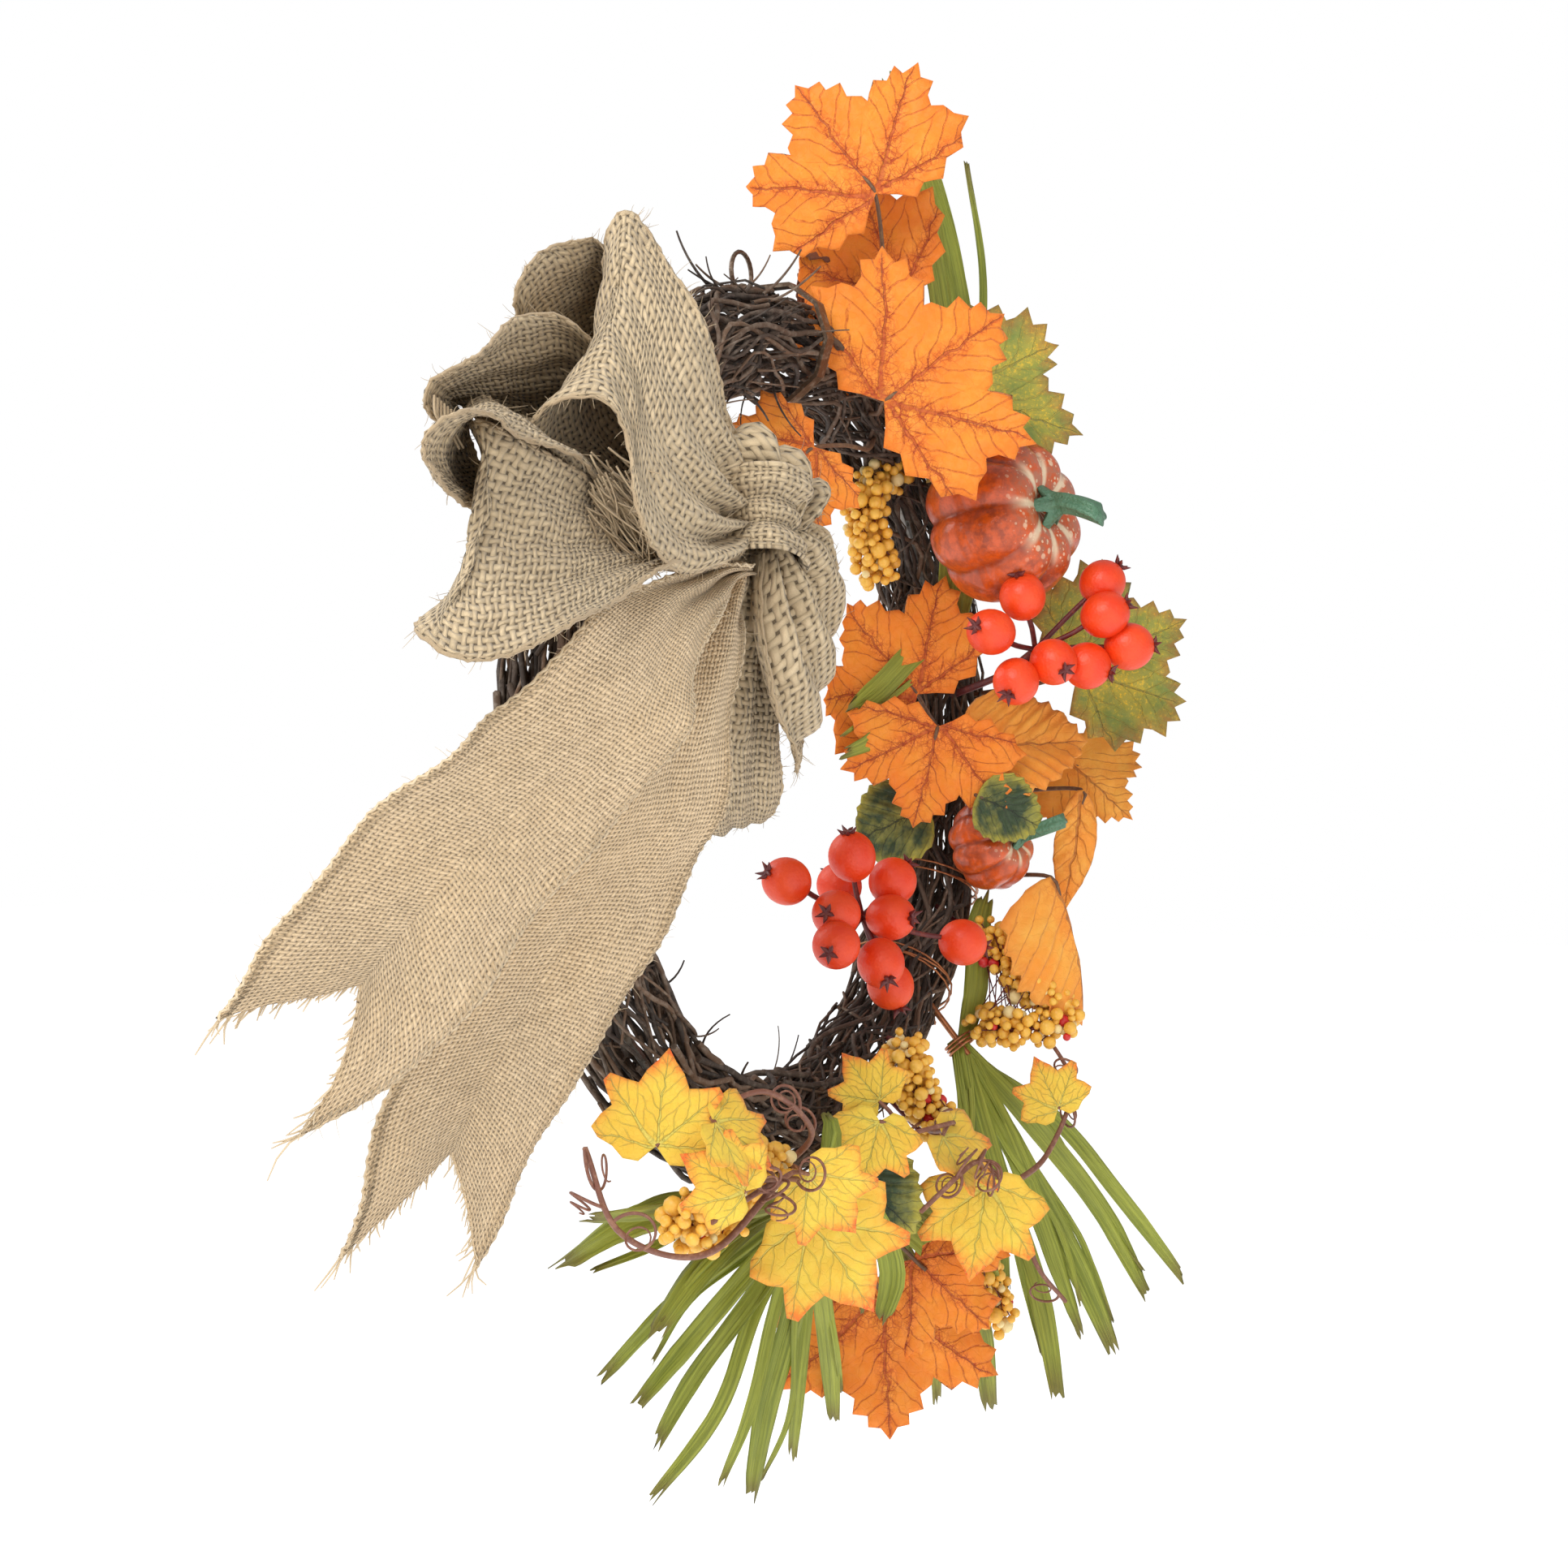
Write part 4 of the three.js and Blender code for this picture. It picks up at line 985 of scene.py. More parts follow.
class Finishes:
    """Every material of the wreath."""

    def __init__(self, effects: Effects) -> None:
        """Build the materials.

        Args:
            effects: The shared node groups.
        """
        self.coarse = Burlap("coarse_burlap", (0.72, 0.57, 0.365), (0.28, 0.20, 0.11), 2.5, 0.76, 1.2,
            0.2).material(effects)
        self.fine = Burlap("fine_burlap", (0.88, 0.67, 0.42), (0.45, 0.305, 0.16), 1.6, 0.78, 0.9,
            0.12).material(effects)
        self.jute = Jute("loose_jute", (0.62, 0.48, 0.30), (0.30, 0.21, 0.12)).material()
        self.pale_jute = Jute("pale_jute", (0.80, 0.65, 0.44), (0.50, 0.37, 0.22)).material()
        self.bark = Bark().material(effects)
        self.copper = PaintedWire("copper_wire", (0.46, 0.18, 0.075), (0.22, 0.085, 0.04), 0.7,
            0.38).material(effects)
        self.steel = PaintedWire("hoop_steel", (0.36, 0.33, 0.30), (0.16, 0.13, 0.11), 0.9,
            0.4).material(effects)
        self.lacquered = PaintedWire("hanger_wire", (0.10, 0.06, 0.035), (0.24, 0.18, 0.13), 0.5,
            0.36).material(effects)
        self.maroon = PaintedWire("berry_stem", (0.11, 0.012, 0.012), (0.22, 0.04, 0.022), 0.0,
            0.45).material(effects)
        self.stem = PaintedWire("leaf_stem", (0.13, 0.062, 0.03), (0.23, 0.13, 0.06), 0.0,
            0.6).material(effects)
        self.vine = PaintedWire("ivy_vine", (0.20, 0.075, 0.045), (0.35, 0.17, 0.10), 0.0,
            0.5).material(effects)
        self.pumpkin = PumpkinPaint().material(effects)
        self.stalk = GlossPaint("pumpkin_stalk", (0.055, 0.15, 0.075), (0.12, 0.26, 0.16), 0.4, 0.2,
            120.0, 0.8).material(effects)
        self.berry = GlossPaint("berry_lacquer", (0.76, 0.036, 0.002), (0.86, 0.075, 0.005), 0.42, 0.1,
            120.0).material(effects)
        self.bead = GlossPaint("painted_foam", (0.80, 0.40, 0.035), (0.90, 0.56, 0.09), 0.42, 0.2, 260.0,
            0.3, ((0.1, (0.82, 0.66, 0.30)), (0.02, (0.62, 0.02, 0.02)))).material(effects)
        orange, amber, rust = (0.80, 0.205, 0.012), (0.83, 0.285, 0.022), (0.36, 0.03, 0.004)
        self.maple = PrintedLeaf("maple_print", orange, amber, rust, (0.42, 0.06, 0.01), (0.74, 0.13,
            0.008), MAPLE_VEINS, 0.95, 0.3).material(effects)
        self.grape = PrintedLeaf("grape_print", (0.17, 0.22, 0.04), (0.38, 0.33, 0.045), (0.74, 0.48,
            0.03), (0.20, 0.19, 0.05), (0.34, 0.08, 0.03), GRAPE_VEINS, 0.5, 0.55, 0.5, 0.6,
            0.9).material(effects)
        self.amber = PrintedLeaf("amber_print", (0.84, 0.30, 0.03), (0.88, 0.42, 0.06), (0.60, 0.12,
            0.015), (0.40, 0.12, 0.02), (0.70, 0.22, 0.03), FEATHER_VEINS, 0.5, 0.5).material(effects)
        self.dark = PrintedLeaf("dark_print", (0.035, 0.06, 0.022), (0.42, 0.38, 0.06), (0.012, 0.025,
            0.012), (0.02, 0.03, 0.012), (0.50, 0.42, 0.05), FEATHER_VEINS, 0.8, 0.7, 0.4,
            0.8).material(effects)
        self.brown = PrintedLeaf("brown_print", (0.17, 0.055, 0.028), (0.30, 0.12, 0.05), (0.06, 0.02,
            0.012), (0.09, 0.03, 0.02), (0.09, 0.03, 0.02), FEATHER_VEINS).material(effects)
        self.ivy = PrintedLeaf("ivy_print", (0.80, 0.56, 0.06), (0.82, 0.47, 0.04), (0.55, 0.48, 0.06),
            (0.60, 0.56, 0.12), (0.86, 0.125, 0.02), IVY_VEINS, 0.25, 1.0, 0.45, 0.7, rim_start=0.36,
            reach=0.9).material(effects)
        self.raffia = PaperRaffia().material(effects)


# ---- The ring --------------------------------------------------------------------------------------
def ring_axes(degrees: float) -> tuple[Vector, Vector]:
    """Find a place on the ring's centreline and the direction outwards there.

    Args:
        degrees: How far round, from +X towards +Z.

    Returns:
        The place and the direction.
    """
    a = math.radians(degrees)
    out = Vector((math.cos(a), 0.0, math.sin(a)))
    return out * RING_RADIUS, out


@dataclass
class TwigRing:
    """Vine twigs wound round a wire hoop in eight bundles, tied with copper wire."""

    finishes: Finishes
    segments: int = 8
    twigs: int = 84
    twig_radius: float = 0.86
    ties: tuple[float, ...] = (165.0, 207.0, 318.0, 336.0)
    tie_turns: int = 3

    def build(self) -> None:
        """Paint the frame's hoop, and make the bundles, the stray shoots and the wires that bind them."""
        for index in range(self.segments):
            self._bundle(index)
        self._shoots()
        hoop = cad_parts["wire_hoop"]
        paint(hoop, self.finishes.steel)
        for number, degrees in enumerate(self.ties, 1):
            self._tie(number, degrees)

    def _bundle(self, index: int) -> None:
        """Wind one bundle's twigs, which cross each other and run a little into the next bundle.

        Args:
            index: Which bundle, from 0.
        """
        rng = random.Random(40 + index)
        middle = 90.0 + 45.0 * (index + 0.5)
        runs = []
        for number in range(self.twigs + 22):
            stray = number >= self.twigs
            span = rng.uniform(24.0, 64.0) if not stray else rng.uniform(12.0, 34.0)
            centre = middle + rng.uniform(-12.0, 12.0)
            depth = 0.82 * math.sqrt(rng.random()) if number % 2 == 0 else rng.uniform(0.74, 0.98)
            angle, turn = rng.uniform(0.0, math.tau), rng.uniform(-1.6, 1.6) * (2.6 if stray else 1.0)
            wobble, seed = rng.uniform(0.05, 0.16), rng.uniform(0.0, 90.0)
            steps = max(6, int(span / 2.6))
            points = []
            for k in range(steps + 1):
                part = k / steps
                a = angle + turn * part + 1.1 * noise.noise(Vector((seed, part * 3.0, 0.0)))
                r = BUNDLE_RADIUS * (depth + wobble * 1.6 * noise.noise(Vector((part * 5.0, seed, 1.0))))
                r = min(r, BUNDLE_RADIUS + (2.6 if stray else 0.8))
                spot, out = ring_axes(centre + span * (part - 0.5))
                back = max(-r * math.sin(a), -r) if math.sin(a) < 0 else -r * math.sin(a)
                points.append(spot + out * (r * math.cos(a)) + Vector((0.0, min(back, 14.6), 0.0)))
            radius = self.twig_radius * rng.uniform(0.6, 1.35) * (0.75 if stray else 1.0)
            runs.append((points, [radius * (1.08 - 0.4 * k / steps) for k in range(steps + 1)]))
        made = wires(f"twigs_{index + 1}", runs)
        hand_over(made, self.finishes.bark, [f"twig_bundle_{index + 1}"])

    def _shoots(self) -> None:
        """Add the thin shoots that curl off the ring and its cut ends."""
        rng = random.Random(7)
        runs = []
        for _ in range(210):
            degrees = rng.choice((rng.uniform(95.0, 130.0), rng.uniform(170.0, 300.0), rng.uniform(0.0,
                360.0)))
            spot, out = ring_axes(degrees)
            round_ = Vector((-out.z, 0.0, out.x)) * rng.choice((-1.0, 1.0))
            side = rng.uniform(-math.pi, 0.35)
            lift = out * math.cos(side) + Vector((0.0, math.sin(side), 0.0))
            length, curl = rng.uniform(8.0, 26.0), rng.uniform(-0.2, 0.2)
            point = spot + lift * (BUNDLE_RADIUS * 0.86)
            heading = (round_ * rng.uniform(0.7, 1.3) + lift * rng.uniform(0.05, 0.5)).normalized()
            axis = heading.cross(lift).normalized()
            points = [point]
            for _ in range(9):
                heading = (Matrix.Rotation(curl, 3, axis) @ heading).normalized()
                point = point + heading * (length / 9)
                points.append(point)
            radius = rng.uniform(0.32, 0.62)
            runs.append((points, [radius * (1.0 - 0.05 * k) for k in range(len(points))]))
        hand_over(wires("stray_shoots", runs), self.finishes.bark)

    def _tie(self, number: int, degrees: float) -> None:
        """Wrap a few turns of thin wire round the ring and twist the ends.

        Args:
            number: Which tie, from 1.
            degrees: Where on the ring, from +X towards +Z.
        """
        rng = random.Random(number)
        spot, out = ring_axes(degrees)
        round_ = Vector((-out.z, 0.0, out.x))
        points = []
        steps = 22
        for k in range(self.tie_turns * steps + 1):
            a = math.tau * k / steps
            r = BUNDLE_RADIUS + 0.9 + 0.5 * math.sin(3 * a + number)
            y = max(-r * math.sin(a), -r)
            slide = 1.5 * (k / steps - self.tie_turns / 2) + 0.8 * math.sin(a * 1.5 + number)
            points.append(spot + out * (r * math.cos(a)) + Vector((0.0, min(y, 14.7),
                0.0)) + round_ * slide)
        tail = []
        start = points[-1]
        for k in range(12):
            a = 2.2 * k
            tail.append(start + out * (0.9 * k) * rng.uniform(0.9,
                1.1) + round_ * (0.7 * math.cos(a)) + Vector((0.0, -0.7 * math.sin(a) - 0.4 * k, 0.0)))
        runs = [(points, [0.42] * len(points)), (tail, [0.42] * len(tail))]
        hand_over(wires(f"binding_turns_{number}", runs, 4), self.finishes.copper,
            [f"binding_wire_{number}"])


@dataclass
class Hanger:
    """The wire loop at the top of the ring's back, and the wire that ties it on."""

    finishes: Finishes

    def build(self) -> None:
        """Dress the tie and the loop, whose shapes are the frame's own."""
        for node in ("hanger_tie", "hanger_loop"):
            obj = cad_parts[node]
            paint(obj, self.finishes.lacquered)


# ---- The bow ---------------------------------------------------------------------------------------
@dataclass
class Ribbon:
    """One run of burlap ribbon, given by its two edges, with gathers where it enters the knot."""

    name: str
    near_edge: Sequence[Point]
    far_edge: Sequence[Point]
    node: str
    cut_length: float
    body: str = WREATH
    held: str = "gathered"
    gather_start: float = 1.0
    gather_end: float = 1.0
    pleats: float = 4.0
    pleat_depth: float = 4.2
    reach: float = 34.0
    crown: float = 0.0
    ripple: float = 1.6
    notch: float = 0.0
    width: float = 64.0
    thickness: float = 0.9
    seed: int = 1
    grid: list[list[Vector]] = field(default_factory=list)
    lay: list[list[tuple[float, float]]] = field(default_factory=list)

    def shape(self, step: float = 2.2, columns: int = 34) -> None:
        """Lay out the ribbon's surface as rows from edge to edge.

        Args:
            step: The distance between rows.
            columns: How many spans a row has.
        """
        near = [vec(p) for p in self.near_edge]
        far = [vec(p) for p in self.far_edge]
        last = len(near) - 1
        middles = [(spline_point(near, i / 10) + spline_point(far,
            i / 10)) / 2 for i in range(10 * last + 1)]
        lengths = [0.0]
        for one, other in zip(middles, middles[1:]):
            lengths.append(lengths[-1] + (other - one).length)
        total = lengths[-1]
        count = max(8, round(total / step))
        base, runs, j = [], [], 0
        for i in range(count + 1):
            goal = total * i / count
            while j < len(lengths) - 2 and lengths[j + 1] < goal:
                j += 1
            t = (j + (goal - lengths[j]) / max(lengths[j + 1] - lengths[j], 1e-6)) / 10
            one, other = spline_point(near, min(t, last)), spline_point(far, min(t, last))
            base.append([one.lerp(other, k / columns) for k in range(columns + 1)])
            runs.append(goal)
        if self.notch:
            self._cut_notch(base, runs, columns)
        self.grid = [[self._draped(base, runs, total, i, k,
            columns) for k in range(columns + 1)] for i in range(count + 1)]
        self.lay = [[(self.width * k / columns * MM, runs[i] * MM) for k in range(columns + 1)] for i in
            range(count + 1)]

    def _cut_notch(self, base: list[list[Vector]], runs: list[float], columns: int) -> None:
        """Pull the last rows back to a swallowtail."""
        total, plain = runs[-1], [list(row) for row in base]
        for i, row in enumerate(base):
            for k in range(columns + 1):
                share = 1 - abs(2 * k / columns - 1)
                goal = runs[i] / total * (total - self.notch * share * (runs[i] / total) ** 3)
                j = 0
                while j < len(runs) - 2 and runs[j + 1] < goal:
                    j += 1
                part = (goal - runs[j]) / (runs[j + 1] - runs[j])
                if j <= i:
                    row[k] = plain[j][k].lerp(plain[min(j + 1, len(runs) - 1)][k], min(max(part, 0.0),
                        1.0))

    def _draped(self, base: list[list[Vector]], runs: list[float], total: float, i: int, k: int,
            columns: int) -> Vector:
        """Move one point off the plain surface for gathers, crown and ripples.

        Args:
            base: The plain surface's rows.
            runs: How far along the ribbon each row is.
            total: The ribbon's whole length.
            i: The row.
            k: The column.
            columns: How many spans a row has.

        Returns:
            The moved place.
        """
        rows = len(base) - 1
        point = base[i][k]
        along = base[min(i + 1, rows)][k] - base[max(i - 1, 0)][k]
        across = base[i][min(k + 1, columns)] - base[i][max(k - 1, 0)]
        normal = along.cross(across)
        normal = normal.normalized() if normal.length > 1e-9 else Vector((0.0, -1.0, 0.0))
        u = k / columns
        start = self.gather_start * math.exp(-(runs[i] / self.reach) ** 2)
        end = self.gather_end * math.exp(-((total - runs[i]) / self.reach) ** 2)
        drift = 0.35 * noise.noise(Vector((runs[i] / 22.0, self.seed * 3.7, 0.0)))
        folds = math.sin(math.tau * (self.pleats * u + drift) + self.seed)
        offset = self.pleat_depth * (start + end + 0.12) * folds
        offset += self.crown * math.sin(math.pi * u) * math.sin(math.pi * runs[i] / total)
        offset += self.ripple * swell_noise(point, 24.0, self.seed)
        offset += 0.9 * self.ripple * (abs(2 * u - 1) ** 4) * math.sin(runs[i] / 7.0 + self.seed)
        offset += 0.35 * swell_noise(point, 5.0, self.seed + 11.0)
        return point + normal * offset

    def build(self, cloth: bpy.types.Material, slot: str) -> bpy.types.Object:
        """Mesh the ribbon with both its faces.

        Args:
            cloth: Its material.
            slot: A name for its finish; not used.

        Returns:
            The ribbon's object, which rides on its body, except a tail's, which is left unattached.
        """
        if not self.grid:
            self.shape()
        columns = len(self.grid[0])
        points = [p for row in self.grid for p in row]
        faces = [(i * columns + k, (i + 1) * columns + k, (i + 1) * columns + k + 1,
            i * columns + k + 1) for i in range(len(self.grid) - 1) for k in range(columns - 1)]
        obj = mesh_object(self.name, points, faces)
        put_uv(obj, [uv for row in self.lay for uv in row])
        add_modifier(obj, "SOLIDIFY", thickness=self.thickness * MM, offset=0.0)
        return hand_over(obj, cloth, [self.node] if self.node else [], self.body)

    def normal(self, i: int, k: int) -> Vector:
        """Find the direction off the cloth at one point of its layout.

        Args:
            i: The row.
            k: The column.

        Returns:
            The direction.
        """
        rows, columns = len(self.grid) - 1, len(self.grid[0]) - 1
        along = self.grid[min(i + 1, rows)][k] - self.grid[max(i - 1, 0)][k]
        across = self.grid[i][min(k + 1, columns)] - self.grid[i][max(k - 1, 0)]
        return along.cross(across).normalized()


@dataclass
class BurlapBow:
    """The bow: seven loops round a knot, in coarse burlap, and two tails in finer burlap."""

    finishes: Finishes
    knot: Point = (-107.0, -52.0, 58.0)

    def loops(self) -> list[Ribbon]:
        """Lay out the loops, each by its edge nearer to the room's left and its far edge."""
        return [Ribbon("ribbon_top_front", [(-118, -52, 54), (-138, -58, 46), (-164, -62, 40), (-184, -62,
            46), (-187, -60, 58), (-182, -55, 72), (-184, -51, 81), (-189, -46, 83), (-195, -38, 80),
            (-195, -29, 72), (-180, -23, 61), (-152, -32, 51), (-120, -44, 56)], [(-108, -46, 66), (-114,
            -50, 78), (-128, -54, 92), (-138, -52, 108), (-142, -47, 122), (-146, -42, 134), (-152, -38,
            140), (-155, -34, 138), (-151, -28, 127), (-144, -24, 112), (-136, -28, 92), (-122, -36, 74),
            (-108, -42, 64)], "bow_loop_upper_front", 185.0, pleats=4.0, reach=30.0, crown=5.0, seed=3),
            Ribbon("ribbon_top_back", [(-112, -42, 66), (-128, -34, 96), (-140, -29, 120), (-150, -26,
            134), (-163, -24, 130), (-175, -22, 123), (-180, -18, 115), (-168, -12, 108), (-140, -10, 96),
            (-112, -30, 66)], [(-104, -36, 62), (-100, -22, 88), (-98, -10, 108), (-102, -4, 117), (-110,
            0, 112), (-119, 4, 106), (-124, 8, 100), (-112, 10, 98), (-98, 6, 86), (-98, -26, 62)],
            "bow_loop_upper_back", 185.0, pleats=3.5, seed=5), Ribbon("ribbon_back", [(-118, -42, 64),
            (-146, -36, 92), (-170, -30, 108), (-190, -28, 105), (-207, -28, 97), (-221, -28, 89), (-230,
            -27, 81), (-218, -22, 76), (-186, -14, 76), (-146, -16, 70), (-110, -34, 60)], [(-108, -36,
            60), (-124, -22, 76), (-132, -8, 84), (-142, 0, 82), (-154, 4, 84), (-165, 5, 87), (-174, 5,
            88), (-164, 8, 85), (-136, 10, 80), (-110, -4, 72), (-98, -28, 60)], "", 220.0, pleats=4.0,
            seed=7), Ribbon("ribbon_left_small", [(-124, -44, 56), (-170, -42, 62), (-206, -44, 70),
            (-230, -46, 73), (-246, -46, 71), (-252, -42, 66), (-249, -38, 60), (-234, -35, 55), (-206,
            -34, 53), (-160, -36, 53), (-124, -42, 54)], [(-114, -38, 60), (-148, -26, 72), (-172, -18,
            82), (-188, -16, 84), (-196, -17, 80), (-197, -17, 74), (-192, -14, 68), (-180, -12, 64),
            (-164, -14, 60), (-136, -22, 58), (-112, -36, 56)], "bow_loop_left", 228.0, pleats=4.4,
            reach=44.0, seed=9, ripple=2.4),]

    def lower_loops(self) -> list[Ribbon]:
        """Lay out the loops below and to the right of the knot."""
        return [Ribbon("ribbon_low_left", [(-118, -54, 50), (-142, -58, 44), (-174, -60, 39), (-204, -62,
            29), (-226, -60, 19), (-244, -56, 14), (-252, -49, 14), (-251, -41, 19), (-232, -30, 27),
            (-194, -20, 36), (-146, -24, 46), (-116, -42, 52)], [(-114, -46, 56), (-130, -44, 58), (-150,
            -41, 60), (-172, -40, 62), (-190, -40, 66), (-206, -40, 70), (-219, -38, 73), (-216, -32, 74),
            (-192, -18, 74), (-150, -4, 70), (-118, -18, 62), (-106, -36, 58)], "bow_loop_lower_left",
            255.0, pleats=4.0, crown=7.0, seed=11), Ribbon("ribbon_right_upper", [(-106, -54, 56), (-112,
            -56, 64), (-120, -56, 74), (-126, -55, 82), (-127, -52, 84), (-122, -46, 80), (-112, -42, 68),
            (-104, -42, 58)], [(-98, -54, 58), (-88, -58, 62), (-76, -58, 66), (-70, -54, 68), (-68, -49,
            67), (-72, -44, 65), (-84, -42, 62), (-98, -42, 58)], "bow_loop_right_upper", 60.0,
            pleats=3.0, reach=22.0, crown=-5.0, seed=13), Ribbon("ribbon_right_lower", [(-108, -54, 50),
            (-112, -56, 36), (-112, -57, 20), (-106, -57, 4), (-98, -56, -7), (-88, -53, -12), (-76, -48,
            -8), (-66, -42, 4), (-68, -38, 24), (-88, -40, 46)], [(-100, -54, 57), (-92, -58, 60), (-84,
            -60, 61), (-76, -60, 58), (-68, -58, 51), (-60, -53, 42), (-52, -45, 38), (-48, -37, 42),
            (-56, -33, 50), (-80, -36, 56)], "bow_loop_right_lower", 130.0, pleats=3.5, reach=46.0,
            crown=3.0, seed=15), Ribbon("ribbon_down", [(-112, -46, 44), (-122, -44, 26), (-124, -43, 4),
            (-121, -41, -16), (-113, -38, -28), (-102, -34, -31), (-94, -29, -24), (-92, -28, 0), (-98,
            -32, 36)], [(-98, -46, 44), (-84, -46, 26), (-72, -42, 4), (-64, -36, -14), (-58, -30, -24),
            (-50, -24, -26), (-46, -20, -16), (-50, -22, 8), (-76, -32, 38)], "bow_loop_bottom", 160.0,
            pleats=3.0, reach=36.0, seed=17),]

    def tails(self) -> list[Ribbon]:
        """Lay out the two tails, each with its outer edge first."""
        return [Ribbon("ribbon_tail_upper", [(-116, -52, 47), (-142, -54, 43), (-170, -55, 37), (-197,
            -55, 28), (-213, -52, 16), (-224, -47, 4), (-235, -41, -5), (-250, -33, -17), (-266, -25,
            -34), (-281, -19, -52), (-294, -14, -68)], [(-109, -50, 44), (-124, -54, 40), (-146, -60, 27),
            (-157, -61, 10), (-160, -60, -1), (-164, -55, -12), (-175, -46, -26), (-192, -39, -44), (-210,
            -30, -66), (-230, -21, -87), (-256, -8, -100)], "bow_tail_left", 150.0, "tail_left", "hung",
            1.0, 0.0, 2.4, 3.0, 34.0, notch=34.0, seed=21, ripple=1.8), Ribbon("ribbon_tail_lower",
            [(-126, -44, 42), (-146, -45, 25), (-161, -43, 0), (-170, -39, -18), (-178, -33, -31), (-189,
            -25, -45), (-205, -16, -62), (-222, -13, -85), (-235, -13, -109), (-245, -12, -131)], [(-108,
            -50, 42), (-117, -54, 28), (-121, -53, 8), (-121, -50, -14), (-121, -47, -28), (-127, -40,
            -44), (-141, -32, -71), (-162, -25, -96), (-180, -20, -119), (-194, -16, -142)],
            "bow_tail_right", 145.0, "tail_right", "hung", 1.0, 0.0, 2.2, 3.0, 40.0, notch=30.0, seed=23,
            ripple=1.8),]

    def build(self) -> None:
        """Make the loops, tails, knot, stitches and frayed threads."""
        for ribbon in [*self.loops(), *self.lower_loops()]:
            ribbon.shape()
            piece = ribbon.build(self.finishes.coarse, "coarse_burlap")
            fuzz = self._fuzz(ribbon, 420, 0.075, self.finishes.jute, "coarse_burlap")
            hem = self._rolled_edges(ribbon)
            self._declare(ribbon)
        for ribbon in self.tails():
            ribbon.shape(2.0, 40)
            piece = ribbon.build(self.finishes.fine, "fine_burlap")
            fuzz = self._fuzz(ribbon, 200, 0.06, self.finishes.pale_jute, "fine_burlap")
            stitch = self._stitches(ribbon)
            ends = self._frays(ribbon)
            self._declare(ribbon)
        self._knot()
        self._tuft()

    def _declare(self, ribbon: Ribbon) -> None:
        """Say what size of cloth a ribbon was cut from.

        Args:
            ribbon: The ribbon.
        """
        middle = len(ribbon.grid[0]) // 2
        length = sum((after[middle] - row[middle]).length for row, after in zip(ribbon.grid,
            ribbon.grid[1:]))
        log.info("%s: %.0f mm along its middle, cut %.0f", ribbon.name, length, ribbon.cut_length)
        ribbon.width * MM

    def _fuzz(self, ribbon: Ribbon, count: int, radius: float, material: bpy.types.Material,
            slot: str) -> bpy.types.Object:
        """Scatter loose fibres that stand off the cloth and its edges.

        Args:
            ribbon: The ribbon.
            count: How many fibres.
            radius: The radius in millimetres.
            material: The material.
            slot: A name for the finish; not used.

        Returns:
            The object.
        """
        rng = random.Random(ribbon.seed)
        rows, columns = len(ribbon.grid) - 1, len(ribbon.grid[0]) - 1
        runs = []
        for number in range(count):
            i = rng.randrange(1, rows)
            k = rng.choice((0, columns)) if number % 2 else rng.randrange(columns + 1)
            point, normal = ribbon.grid[i][k], ribbon.normal(i, k) * rng.choice((-1.0, 1.0))
            lean = Vector((rng.gauss(0, 1), rng.gauss(0, 1), rng.gauss(0, 1))).normalized()
            if k in (0, columns):
                lean += (point - ribbon.grid[i][columns // 2]).normalized() * 1.4
            heading = (normal * 0.5 + lean).normalized()
            bend = Vector((rng.gauss(0, 1), rng.gauss(0, 1), rng.gauss(0, 1))) * 0.5
            length = rng.uniform(1.6, 4.6)
            points = [point + heading * (length * s) + bend * (length * s * s) * 0.5 for s in (0.0, 0.35,
                0.7, 1.0)]
            runs.append((points, [radius, radius, radius * 0.8, radius * 0.5]))
        return hand_over(wires(f"{ribbon.name}_fuzz", runs, 4), material, body=ribbon.body)

    def _rolled_edges(self, ribbon: Ribbon) -> bpy.types.Object:
        """Run the coarse outermost threads along both edges of a loop.

        Args:
            ribbon: The ribbon.

        Returns:
            The object.
        """
        columns = len(ribbon.grid[0]) - 1
        runs = []
        for k, inner in ((0, 1), (columns, columns - 1)):
            for offset, phase in ((0.0, 0.0), (0.35, 2.0)):
                points = []
                for i, row in enumerate(ribbon.grid):
                    wave = ribbon.normal(i, k) * (0.45 * math.sin(i * 2.4 + phase))
                    points.append(row[k].lerp(row[inner], offset) + wave)
                runs.append((points, [0.46 + 0.14 * math.sin(i * 0.7 + phase) for i in range(len(
                    points))]))
        return hand_over(wires(f"{ribbon.name}_edge_threads", runs), self.finishes.jute,
            body=ribbon.body)

    def _stitches(self, ribbon: Ribbon) -> bpy.types.Object:
        """Sew a zigzag along both edges of a tail.

        Args:
            ribbon: The ribbon.

        Returns:
            The object.
        """
        columns = len(ribbon.grid[0]) - 1
        runs = []
        for k, inner in ((0, 2), (columns, columns - 2)):
            points = []
            for i, row in enumerate(ribbon.grid):
                for part in (0.0, 0.5):
                    other = ribbon.grid[min(i + 1, len(ribbon.grid) - 1)]
                    edge, deep = row[k].lerp(other[k], part), row[inner].lerp(other[inner], part)
                    spot = edge if part == 0.0 else deep
                    points.append(spot + ribbon.normal(i, k) * (0.62 if part else 0.35))
            runs.append((points, [0.24] * len(points)))
            under = [row[k] - ribbon.normal(i, k) * (0.5 * math.cos(i * math.pi)) for i,
                row in enumerate(ribbon.grid)]
            runs.append((under, [0.42] * len(under)))
        return hand_over(wires(f"{ribbon.name}_stitches", runs, 4), self.finishes.pale_jute,
            body=ribbon.body)

